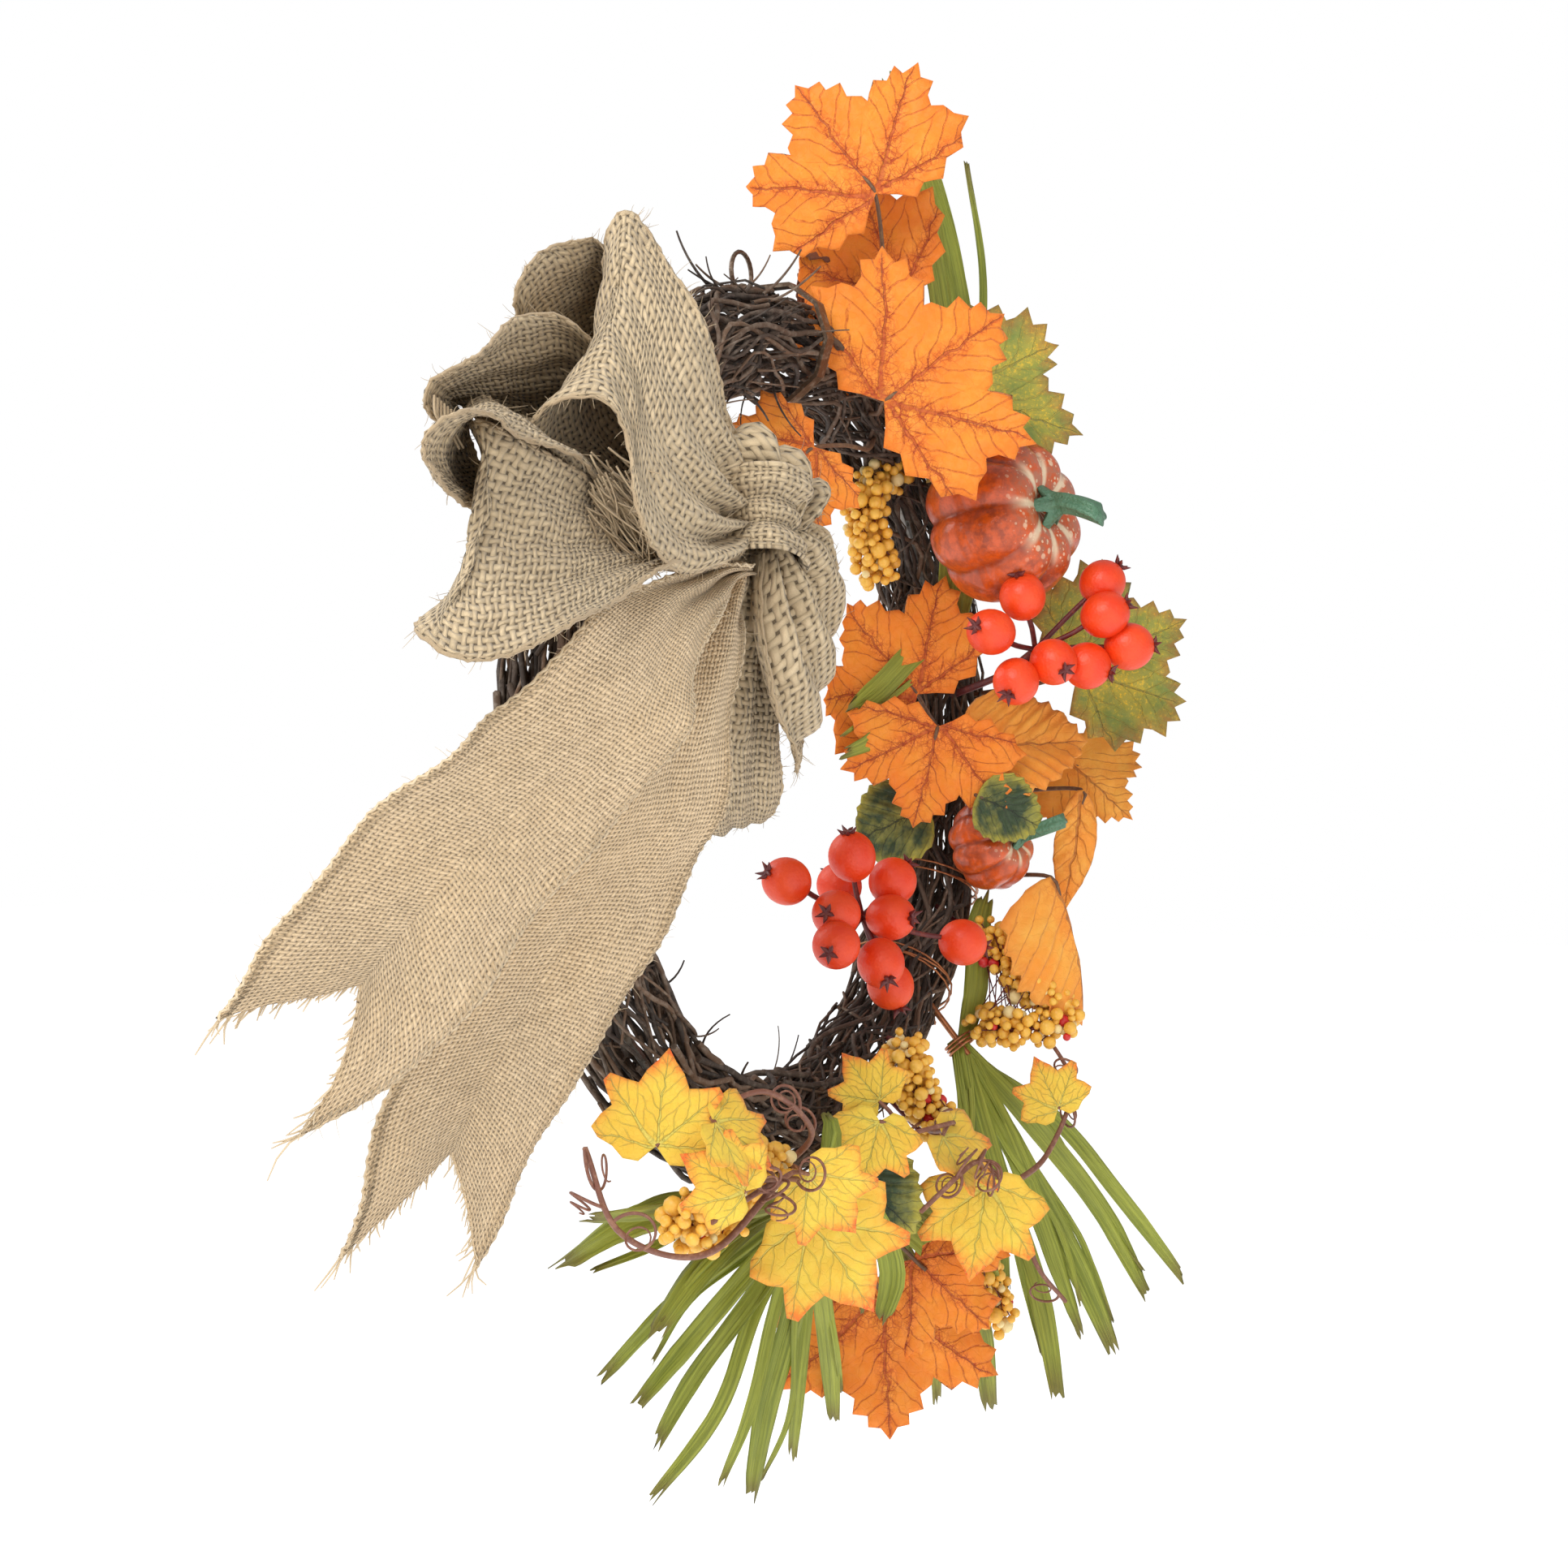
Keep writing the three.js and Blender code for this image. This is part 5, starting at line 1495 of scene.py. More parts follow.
    def _frays(self, ribbon: Ribbon) -> bpy.types.Object:
        """Let the threads hang out of a tail's cut end.

        Args:
            ribbon: The ribbon.

        Returns:
            The object.
        """
        rng = random.Random(ribbon.seed + 5)
        last, before = ribbon.grid[-1], ribbon.grid[-3]
        columns = len(last) - 1
        runs = []
        for k in range(columns + 1):
            for _ in range(2):
                heading = (last[k] - before[k]).normalized()
                corner = (abs(2 * k / columns - 1)) ** 6
                length = rng.uniform(1.4, 4.0) + corner * rng.uniform(2.0, 11.0)
                bend = Vector((rng.gauss(0, 0.5), rng.gauss(0, 0.5), rng.uniform(-1.0, 0.3)))
                start = last[k].lerp(last[min(k + 1, columns)], rng.random()) - heading * 1.0
                points = [start + heading * (length * s) + bend * (length * s * s) * 0.6 for s in (0, 0.3,
                    0.65, 1.0)]
                runs.append((points, [0.3, 0.28, 0.24, 0.14]))
        return hand_over(wires(f"{ribbon.name}_frayed_end", runs, 4), self.finishes.pale_jute,
            body=ribbon.body)

    def _knot(self) -> None:
        """Wrap the gathered loops with a pleated band."""
        centre = vec(self.knot)
        across, along, facing = axes((0.14, 0.0, 1.0), (-0.88, -0.47, 0.1))
        rows, columns = 64, 26
        points, lay = [], []
        for i in range(rows):
            a = math.tau * i / rows
            ring = across * math.cos(a) * 11.0 + facing * math.sin(a) * 14.0
            out = (across * math.cos(a) + facing * math.sin(a)).normalized()
            for k in range(columns + 1):
                v = k / columns - 0.5
                waist = 1.0 + 0.55 * (2 * v) ** 2
                fold = 1.5 * math.sin(math.tau * 3.2 * v + 0.6 * math.sin(a) + 1.0)
                spot = centre + ring * waist * 0.93 + along * (v * 24.0 + 2.5 * math.sin(a + 0.7))
                points.append(spot + out * (fold + 0.9 * swell_noise(spot, 8.0, 2.0)))
                lay.append((k * 44.0 / columns * MM, 92.0 * i / rows * MM))
        columns += 1
        faces = [(i * columns + k, i * columns + k + 1, ((i + 1) % rows) * columns + k + 1,
            ((i + 1) % rows) * columns + k) for i in range(rows) for k in range(columns - 1)]
        obj = mesh_object("bow_wrap", points, faces)
        put_uv(obj, lay)
        add_modifier(obj, "SOLIDIFY", thickness=1.2 * MM, offset=0.0)
        hand_over(obj, self.finishes.coarse, ["bow_knot"])

    def _tuft(self) -> None:
        """Leave the frayed end of the ribbon showing inside the front loop."""
        rng = random.Random(77)
        runs = []
        for _ in range(260):
            start = Vector((-176 + rng.gauss(0, 3.6), -44 + rng.gauss(0, 2.4), 60 + rng.gauss(0, 4.2)))
            heading = Vector((0.55 + rng.gauss(0, 0.16), -0.18 + rng.gauss(0, 0.12), -0.6 + rng.gauss(0,
                0.14)))
            length = rng.uniform(12.0, 23.0)
            bend = Vector((rng.gauss(0, 0.16), rng.gauss(0, 0.16), rng.uniform(-0.1, 0.22)))
            points = [start + heading * (length * s) + bend * (length * s * s) for s in (0, 0.25, 0.5,
                0.75, 1.0)]
            runs.append((points, [0.34, 0.36, 0.33, 0.28, 0.14]))
        hand_over(wires("frayed_ribbon_end", runs, 4), self.finishes.jute)
        # cut threads bunch where the back loop's corner is worn
        runs = []
        for number in range(7):
            start = Vector((-228 + number * 1.4, -27, 80 - number * 0.5))
            drop = rng.uniform(7.0, 12.0)
            run = [start, start + Vector((-1.0, -1.0, -drop * 0.6)), start + Vector((rng.uniform(-1, 2),
                -1.5, -drop))]
            points = smooth_run(run, 1.2)
            runs.append((points, [0.36] * len(points)))
        hand_over(wires("worn_corner_threads", runs, 4), self.finishes.jute)


# ---- Leaves ----------------------------------------------------------------------------------------
def before_door(point: Vector) -> Vector:
    """Bend a place that would lie in the door forward to just before it.

    Args:
        point: The place.

    Returns:
        The moved place.
    """
    over = point.y - DOOR_REACH / 2
    if over > 0:
        point.y = DOOR_REACH - DOOR_REACH / 2 * math.exp(-2 * over / DOOR_REACH)
    return point


class Outline(Enum):
    """The right half of each kind of blade, from the tip (0, 1) to the foot (0, 0)."""

    MAPLE = ((0, 1), (0.06, 0.92), (0.15, 0.91), (0.15, 0.83), (0.26, 0.81), (0.24, 0.70), (0.33, 0.64),
        (0.35, 0.56), (0.43, 0.60), (0.47, 0.69), (0.55, 0.63), (0.66, 0.69), (0.68, 0.61), (0.82, 0.61),
        (0.77, 0.51), (0.82, 0.43), (0.73, 0.37), (0.70, 0.29), (0.77, 0.24), (0.80, 0.15), (0.88, 0.07),
        (0.77, 0.01), (0.72, -0.09), (0.58, -0.08), (0.47, -0.19), (0.34, -0.13), (0.24, -0.19), (0.13,
        -0.09))
    GRAPE = ((0, 1), (0.05, 0.90), (0.13, 0.90), (0.14, 0.80), (0.25, 0.80), (0.24, 0.68), (0.34, 0.66),
        (0.36, 0.60), (0.46, 0.70), (0.50, 0.62), (0.61, 0.68), (0.61, 0.57), (0.73, 0.56), (0.69, 0.46),
        (0.80, 0.39), (0.70, 0.32), (0.66, 0.26), (0.76, 0.18), (0.68, 0.09), (0.73, -0.03), (0.58,
        -0.06), (0.54, -0.18), (0.40, -0.14), (0.30, -0.23), (0.16, -0.13))
    IVY = ((0, 1), (0.09, 0.87), (0.19, 0.76), (0.26, 0.62), (0.40, 0.64), (0.56, 0.68), (0.62, 0.60),
        (0.56, 0.47), (0.50, 0.36), (0.60, 0.26), (0.68, 0.12), (0.60, 0.02), (0.44, -0.05), (0.32,
        -0.16), (0.16, -0.17), (0.06, -0.06))
    ROUNDED = ((0, 1), (0.07, 0.93), (0.14, 0.93), (0.17, 0.86), (0.25, 0.84), (0.27, 0.76), (0.35, 0.73),
        (0.36, 0.64), (0.43, 0.60), (0.42, 0.51), (0.48, 0.46), (0.45, 0.37), (0.48, 0.31), (0.43, 0.23),
        (0.42, 0.15), (0.33, 0.07), (0.20, 0.01), (0.08, -0.01))
    SLENDER = ((0, 1), (0.05, 0.87), (0.11, 0.74), (0.155, 0.58), (0.17, 0.42), (0.155, 0.26), (0.1, 0.1),
        (0.04, 0.01))


@dataclass
class Leaf:
    """A moulded fabric leaf: `at` is its foot, `tip` points to its tip, `face` off its printed side."""

    outline: Outline
    size: float
    at: Point
    tip: Point
    face: Point = LEFTWARD
    stem: Sequence[Point] = ()
    curl: float = 6.0
    cup: float = 3.0
    quilt: float = 0.05
    fold: float = 0.0
    thickness: float = 0.4
    seed: float = 0.0

    def veins(self) -> list[float]:
        """List the main veins' angles from the tip, in degrees."""
        return {Outline.MAPLE: [0, 52, 92], Outline.GRAPE: [0, 44, 92], Outline.IVY: [0, 43,
            84]}.get(self.outline, [0])

    def height(self, x: float, y: float) -> float:
        """Find how far the blade stands off its flat layout, in millimetres.

        Args:
            x: The place across the blade, as a share of its size.
            y: The place along the blade, as a share of its size.

        Returns:
            The height.
        """
        r, angle = math.hypot(x, y), math.degrees(math.atan2(abs(x), y))
        rise = -self.curl * y * y + self.cup * x * x
        rise -= self.fold * self.size * abs(x)
        stops = [*self.veins(), 150.0]
        for one, other in zip(stops, stops[1:]):
            if one <= angle <= other:
                rise += self.quilt * self.size * r * math.sin(math.pi * (angle - one) / (other -
                    one)) ** 0.8
        if len(stops) == 2:
            rise += self.quilt * self.size * 0.5 * math.sin(math.pi * min(abs(x) / 0.42, 1.0))
            rise += 0.018 * self.size * math.sin(math.tau * (y - abs(x) * 1.15) / 0.15) * min(1.0,
                abs(x) * 6)
        rise += 0.05 * self.size * noise.noise(Vector((x * 1.6 + self.seed, y * 1.6, self.seed)))
        return rise + 0.02 * self.size * noise.noise(Vector((x * 6.0, y * 6.0, self.seed)))

    def blade(self, name: str, rings: int = 12) -> bpy.types.Object:
        """Mesh the blade with both its faces.

        Args:
            name: The object's name.
            rings: How many rings of faces lie between its middle and its rim.

        Returns:
            The blade, with its flat layout and how near each point is to the rim.
        """
        half = list(self.outline.value)
        whole = [*half, (0.0, 0.0), *[(-x, y) for x, y in reversed(half[1:])]]
        rim = []
        for (x0, y0), (x1, y1) in zip(whole, whole[1:] + whole[:1]):
            rim += [(x0 + (x1 - x0) * s / 3, y0 + (y1 - y0) * s / 3) for s in range(3)]
        hub = (0.0, 0.3)
        right, along, facing = axes(self.tip, self.face)
        foot = vec(self.at)
        flat = [hub] + [(hub[0] + (x - hub[0]) * k / rings,
            hub[1] + (y - hub[1]) * k / rings) for k in range(1, rings + 1) for x, y in rim]
        points = [before_door(foot + right * (x * self.size) + along * (y * self.size) + facing *
            self.height(x, y)) for x, y in flat]
        n = len(rim)
        faces = [(0, 1 + (i + 1) % n, 1 + i) for i in range(n)]
        for k in range(rings - 1):
            inner, outer = 1 + k * n, 1 + (k + 1) * n
            faces += [(inner + i, inner + (i + 1) % n, outer + (i + 1) % n, outer + i) for i in range(n)]
        obj = mesh_object(name, points, faces)
        put_uv(obj, flat)
        put_value(obj, "rim", [0.0] + [k / rings for k in range(1, rings + 1) for _ in rim])
        add_modifier(obj, "SOLIDIFY", thickness=self.thickness * MM, offset=0.0)
        return obj

    def stalk(self, name: str, radius: float = 1.0) -> bpy.types.Object:
        """Make the stem, from under the blade back to the ring.

        Args:
            name: The object's name.
            radius: The radius in millimetres.

        Returns:
            The object.
        """
        _, along, facing = axes(self.tip, self.face)
        foot = vec(self.at)
        root = foot + along * (0.16 * self.size) - facing * 0.9
        run, radii = tapered([root, foot - facing * 0.6, *self.stem], radius * 0.7, 1.5)
        return wires(name, [(run, radii)])


@dataclass
class LeafSet:
    """The leaves fastened one by one on the ring."""

    finishes: Finishes

    def leaves(self) -> dict[str, tuple[Leaf, bpy.types.Material, str]]:
        """Lay out the leaves, each with its material and slot, by the node that it replaces.

        Returns:
            Each leaf with its material and slot, by node.
        """
        f = self.finishes
        m, g, r, s = Outline.MAPLE, Outline.GRAPE, Outline.ROUNDED, Outline.SLENDER
        return {"maple_leaf_top": (Leaf(m, 47, (28, -24, 186), (-0.3, 0.5, 0.82), stem=[(42, -20, 168),
            (50, -15, 150), (48, -6, 132)], seed=1.0), f.maple, "maple_leaf"),
            "maple_leaf_upper_back": (Leaf(m, 47, (56, -20, 155), (-0.34, 0.72, 0.3), stem=[(62, -16,
            144), (66, -8, 128)], seed=2.0), f.maple, "maple_leaf"), "maple_leaf_upper_front": (Leaf(m,
            52, (18, -32, 113), (0.4, -0.68, 0.6), stem=[(34, -22, 112), (52, -8, 116)], seed=3.0),
            f.maple, "maple_leaf"), "maple_leaf_small": (Leaf(m, 29, (-10, -20, 95), (-0.3, 0.4, -0.4),
            stem=[(10, -21, 98), (34, -18, 100), (60, -8, 108)], seed=4.0), f.maple, "maple_leaf"),
            "brown_leaf_upper": (Leaf(r, 34, (60, 2, 176), (-0.42, 0.8, 0.32), (-0.4, -0.1, 0.9), [(62,
            -2, 164), (62, -4, 140)], fold=0.3, seed=5.0), f.brown, "brown_leaf"),
            "brown_leaf_lower": (Leaf(r, 31, (52, 4, 158), (-0.45, 0.85, 0.12), stem=[(58, 2, 150), (60,
            0, 132)], fold=0.2, seed=6.0), f.brown, "brown_leaf"), "grape_leaf_upper": (Leaf(g, 50, (78,
            -30, 124), (0.46, -0.85, -0.24), (-0.84, -0.46, 0.3), [(84, -20, 120), (88, -6, 112)],
            seed=7.0), f.grape, "grape_leaf"), "maple_leaf_middle_upper": (Leaf(m, 44, (86, -13, 17),
            (-0.32, 0.56, 0.78), stem=[(98, -12, 10), (118, -6, 6)], seed=8.0), f.maple, "maple_leaf"),
            "maple_leaf_middle_lower": (Leaf(m, 38, (82, -23, 5), (-0.1, 0.2, -0.96), stem=[(100, -15, 3),
            (120, -6, 0)], seed=9.0), f.maple, "maple_leaf"), "rounded_leaf_right": (Leaf(r, 46, (96, -27,
            -3), (0.45, -0.86, 0.1), (-0.8, -0.4, 0.4), [(108, -18, -6), (122, -8, -8)], seed=10.0),
            f.amber, "green_leaf"), "grape_leaf_right": (Leaf(g, 46, (132, -58, 27), (0.42, -0.78, 0.42),
            stem=[(134, -40, 22), (132, -12, 18)], seed=11.0), f.grape, "grape_leaf"),
            "curled_leaf_right": (Leaf(g, 31, (146, -50, -8), (0.36, -0.62, -0.7), stem=[(142, -32, -8),
            (134, -10, -10)], curl=-5.0, fold=0.5, seed=12.0), f.amber, "green_leaf"),
            "curled_leaf_green": (Leaf(s, 47, (136, -58, -18), (-0.1, 0.1, -1.0), stem=[(138, -36, -18),
            (134, -12, -20)], curl=8.0, fold=0.25, seed=13.0), f.amber, "green_leaf"),
            "curled_leaf_lower": (Leaf(r, 54, (120, -52, -50), (0.1, -0.45, -0.88), (0.05, -0.9, 0.45),
            [(122, -32, -50), (122, -10, -50)], curl=16.0, fold=0.9, seed=14.0), f.amber, "green_leaf"),
            "dark_leaf_left": (Leaf(r, 34, (96, -12, -24), (-0.4, 0.7, -0.4), stem=[(108, -10, -24), (124,
            -6, -26)], seed=15.0), f.dark, "dark_leaf"), "dark_leaf_right": (Leaf(r, 27, (88, -36, -20),
            (0.4, -0.75, -0.4), stem=[(98, -24, -18), (120, -8, -20)], seed=16.0), f.dark, "dark_leaf"),
            "maple_leaf_bottom": (Leaf(m, 48, (38, -22, -194), (0.0, -0.05, -1.0), (0.8, 0.5, 0.0), [(28,
            -20, -180), (20, -12, -160), (16, -4, -140)], curl=3.0, seed=17.0), f.maple, "maple_leaf"),
            "maple_leaf_bottom_upper": (Leaf(m, 35, (42, -32, -180), (0.3, -0.6, -0.6), (0.8, 0.5, 0.1),
            [(34, -24, -168), (26, -10, -148)], curl=3.0, seed=18.0), f.maple, "maple_leaf"),
            "dark_leaf_bottom": (Leaf(r, 35, (4, -24, -142), (0.36, -0.6, -0.7), stem=[(2, -12, -138), (0,
            -4, -134)], seed=19.0), f.dark, "dark_leaf"),}

    def build(self) -> None:
        """Make every leaf and its stem."""
        for node, (leaf, material, slot) in self.leaves().items():
            blade = leaf.blade(f"{node}_blade")
            hand_over(blade, material, [node])
            hand_over(leaf.stalk(f"{node}_stem"), self.finishes.stem)


# ---- Pumpkins --------------------------------------------------------------------------------------
@dataclass
class Pumpkin:
    """A ribbed foam pumpkin, flattened along its stem, and its fluted stalk."""

    name: str
    at: Point
    up: Point
    radius: float
    height: float
    stalk: float
    foot: float
    bend: Point
    ribs: int = 8
    seed: float = 0.0

    def skin(self) -> bpy.types.Object:
        """Shape a sphere into the ribbed body.

        Returns:
            The body, with how near each point is to the stem and to a groove.
        """
        bpy.ops.mesh.primitive_uv_sphere_add(segments=14 * self.ribs, ring_count=56, radius=1.0)
        obj = bpy.context.view_layer.objects.active
        obj.name = obj.data.name = f"{self.name}_skin"
        right, along, facing = axes(self.up, (0.0, 0.0, 1.0))
        centre = vec(self.at)
        poles, grooves = [], []
        for point in obj.data.vertices:
            x, y, z = point.co
            around = math.atan2(y, x)
            side = math.hypot(x, y)
            wave = abs(math.sin(self.ribs * around / 2))
            rib = 1 - (0.13 + 0.03 * math.sin(around * 2 + self.seed)) * (1 - wave) ** 1.4 * min(1.0,
                side * 1.6)
            full = side ** 0.9 * (1.0 if z > 0 else 1.03)
            dimple = z * (1 - 0.42 * max(0.0, 1 - side * 1.25) ** 1.5)
            spot = (right * math.cos(around) + facing * math.sin(around)) * (full * rib * self.radius)
            spot += along * (dimple * (1 - 0.07 * (1 - wave) * side) * self.height)
            spot += spot.normalized() * (0.5 * swell_noise(spot, 9.0, self.seed + 2.0))
            point.co = to_frame(centre + spot)
            poles.append(max(0.0, z))
            grooves.append((1 - wave) ** 1.2)
        put_value(obj, "pole", poles)
        put_value(obj, "groove", grooves)
        obj.data.shade_smooth()
        obj.data.uv_layers.remove(obj.data.uv_layers[0])
        return self._outward(obj)

    @staticmethod
    def _outward(obj: bpy.types.Object) -> bpy.types.Object:
        """Turn all faces outward.

        Args:
            obj: The object.

        Returns:
            The object.
        """
        only(obj)
        bpy.ops.object.mode_set(mode="EDIT")
        bpy.ops.mesh.select_all(action="SELECT")
        bpy.ops.mesh.normals_make_consistent(inside=False)
        bpy.ops.object.mode_set(mode="OBJECT")
        return obj

    def stem(self) -> bpy.types.Object:
        """Make the five-sided stalk, which flares into five toes at its foot and bends at its end.

        Returns:
            The object.
        """
        right, along, facing = axes(self.up, (0.0, 0.0, 1.0))
        foot = vec(self.at) + along * (self.height * 0.74)
        bend = vec(self.bend)
        rows, sides = 26, 40
        points = []
        for i in range(rows + 1):
            t = i / rows
            rise = self.height * 0.14 + self.stalk * 0.95
            centre = foot + along * (rise * t) + bend * (self.stalk * 0.62 * max(0.0,
                t - 0.3) ** 1.6 / 0.56)
            flare = 1.0 + 1.15 * (1 - min(t / 0.34, 1.0)) ** 1.8
            width = self.foot * 0.5 * flare * (1.0 + 0.12 * t)
            for k in range(sides):
                a = math.tau * k / sides
                ridge = 1 + (0.12 + 0.2 * (1 - min(t / 0.4,
                    1.0)) + 0.05 * t) * math.cos(5 * (a + 0.5 * t))
                out = right * math.cos(a) + facing * math.sin(a)
                drop = along * (-1.6 * (1 - min(t / 0.25, 1.0)) * (ridge - 1) * 5)
                points.append(centre + out * (width * ridge) + drop)
        points.append(foot)
        points.append(centre + along * 0.7 - bend * 0.1)
        faces = [(i * sides + k, i * sides + (k + 1) % sides, (i + 1) * sides + (k + 1) % sides,
            (i + 1) * sides + k) for i in range(rows) for k in range(sides)]
        faces += [(len(points) - 2, (k + 1) % sides, k) for k in range(sides)]
        faces += [(len(points) - 1, rows * sides + k,
            rows * sides + (k + 1) % sides) for k in range(sides)]
        return self._outward(mesh_object(f"{self.name}_stalk", points, faces))


@dataclass
class Pumpkins:
    """The large and the small pumpkin."""

    finishes: Finishes

    def build(self) -> None:
        """Make both pumpkins."""
        for pumpkin in (Pumpkin("pumpkin_large", (84, -48, 79), (-0.2, -0.96, 0.16), 30.5, 25.5, 15, 7,
                (0.2, -0.3, -0.7)), Pumpkin("pumpkin_small", (108, -33, -38), (-0.2, -0.96, 0.25), 17.0,
                14.5, 14, 4.5, (0.3, -0.5, 0.3), seed=3.0)):
            hand_over(pumpkin.skin(), self.finishes.pumpkin, [pumpkin.name])
            hand_over(pumpkin.stem(), self.finishes.stalk, [f"{pumpkin.name}_stem"])


# ---- Berries and beads -----------------------------------------------------------------------------
@dataclass
class BerrySpray:
    """Lacquered berries on wrapped wire stems that meet at a hub."""

    name: str
    hub: Point
    foot: Sequence[Point]
    berries: Sequence[Point]
    radius: float = 8.5

    def build(self, finishes: Finishes) -> None:
        """Make the berries, the star at each one's end and the stems.

        Args:
            finishes: The wreath's materials.
        """
        hub = vec(self.hub)
        fruit, stars, runs = [], [], [tapered([hub, *self.foot], 1.2, 1.2)]
        for number, spot in enumerate(self.berries):
            centre = vec(spot)
            out = (centre - hub).normalized()
            rng = random.Random(number * 7 + len(self.berries))
            bpy.ops.mesh.primitive_uv_sphere_add(segments=32, ring_count=20, radius=self.radius * MM,
                location=to_frame(centre))
            ball = bpy.context.view_layer.objects.active
            ball.rotation_euler = out.to_track_quat("Z", "Y").to_euler()
            ball.scale = (rng.uniform(0.94, 1.0), rng.uniform(0.94, 1.0), rng.uniform(1.0, 1.06))
            only(ball)
            bpy.ops.object.transform_apply(location=True, rotation=True, scale=True)
            ball.data.shade_smooth()
            fruit.append(ball)
            stars.extend(self._star(centre, out, rng))
            sag = hub.lerp(centre, 0.5) + Vector((rng.uniform(-1, 1), rng.uniform(-1, 1), rng.uniform(-2,
                0.5)))
            runs.append(tapered([hub, sag, centre - out * (self.radius * 0.8)], 1.0, 1.0))
        hand_over(fuse(f"{self.name}_berries", fruit), finishes.berry, [self.name])
        hand_over(wires(f"{self.name}_stars", stars), finishes.maroon)
        hand_over(wires(f"{self.name}_stems", runs), finishes.maroon)

    def _star(self, centre: Vector, out: Vector, rng: random.Random) -> list[tuple[list[Vector],
            list[float]]]:
        """Lay out the little dried star where the blossom was.

        Args:
            centre: The berry's middle.
            out: The direction from its stem.
            rng: The source of its irregularities.

        Returns:
            The star's points, as runs for `wires`.
        """
        right, along, facing = axes(out, (0.0, 0.3, 1.0))
        top = centre + along * (self.radius * 1.02)
        runs = [([top - along * 0.8, top + along * 0.5], [1.5, 0.9])]
        for k in range(5):
            a = math.tau * (k + rng.uniform(-0.12, 0.12)) / 5
            side = right * math.cos(a) + facing * math.sin(a)
            runs.append(([top, top + side * 1.9 + along * 0.6, top + side * 3.6 + along * rng.uniform(1.0,
                3.0)], [1.0, 0.85, 0.12]))
        return runs


@dataclass
class BeadSpray:
    """A wire crowded with painted foam beads of several sizes."""

    name: str
    lumps: Sequence[Point]
    foot: Sequence[Point]
    size: float = 8.0
    count: int = 56
    seed: int = 1

    def build(self, finishes: Finishes) -> None:
        """Place the beads round the wire and make the wire.

        Args:
            finishes: The wreath's materials.
        """
        rng = random.Random(self.seed)
        knots = [vec(p) for p in self.lumps]
        placed: list[tuple[Vector, float]] = []
        for _ in range(9000):
            if len(placed) >= self.count:
                break
            middle = spline_point(knots, rng.uniform(0.0, len(knots) - 1.0))
            way = Vector((rng.gauss(0, 1), rng.gauss(0, 1), rng.gauss(0, 1))).normalized()
            radius = rng.choice((1.5, 1.8, 2.1, 2.3, 2.5, 3.0))
            spot = middle + way * (self.size * rng.uniform(0.3, 1.0) - radius * 0.5)
            if all((spot - other).length > (radius + size) * 0.84 for other, size in placed):
                placed.append((spot, radius))
        balls = []
        for spot, radius in placed:
            bpy.ops.mesh.primitive_ico_sphere_add(subdivisions=2, radius=radius * MM,
                location=to_frame(spot))
            ball = bpy.context.view_layer.objects.active
            only(ball)
            bpy.ops.object.transform_apply(location=True, rotation=True, scale=True)
            ball.data.shade_smooth()
            balls.append(ball)
        log.info("%s: %d beads", self.name, len(balls))
        hand_over(fuse(f"{self.name}_beads", balls), finishes.bead, [self.name])
        run = [*reversed(self.lumps), *self.foot]
        prongs = [([spline_point(knots, rng.uniform(0, len(knots) - 1.0)), spot], [0.25, 0.25]) for spot,
            _ in placed[::4]]
        hand_over(wires(f"{self.name}_wire", [tapered(run, 0.9, 1.2), *prongs]), finishes.maroon)


# ---- Raffia ----------------------------------------------------------------------------------------
@dataclass
class Strip:
    """One paper strip: its end, how far its middle bows, and its width."""

    to: Point
    bow: Point = (0.0, 0.0, 0.0)
    width: float = 8.0


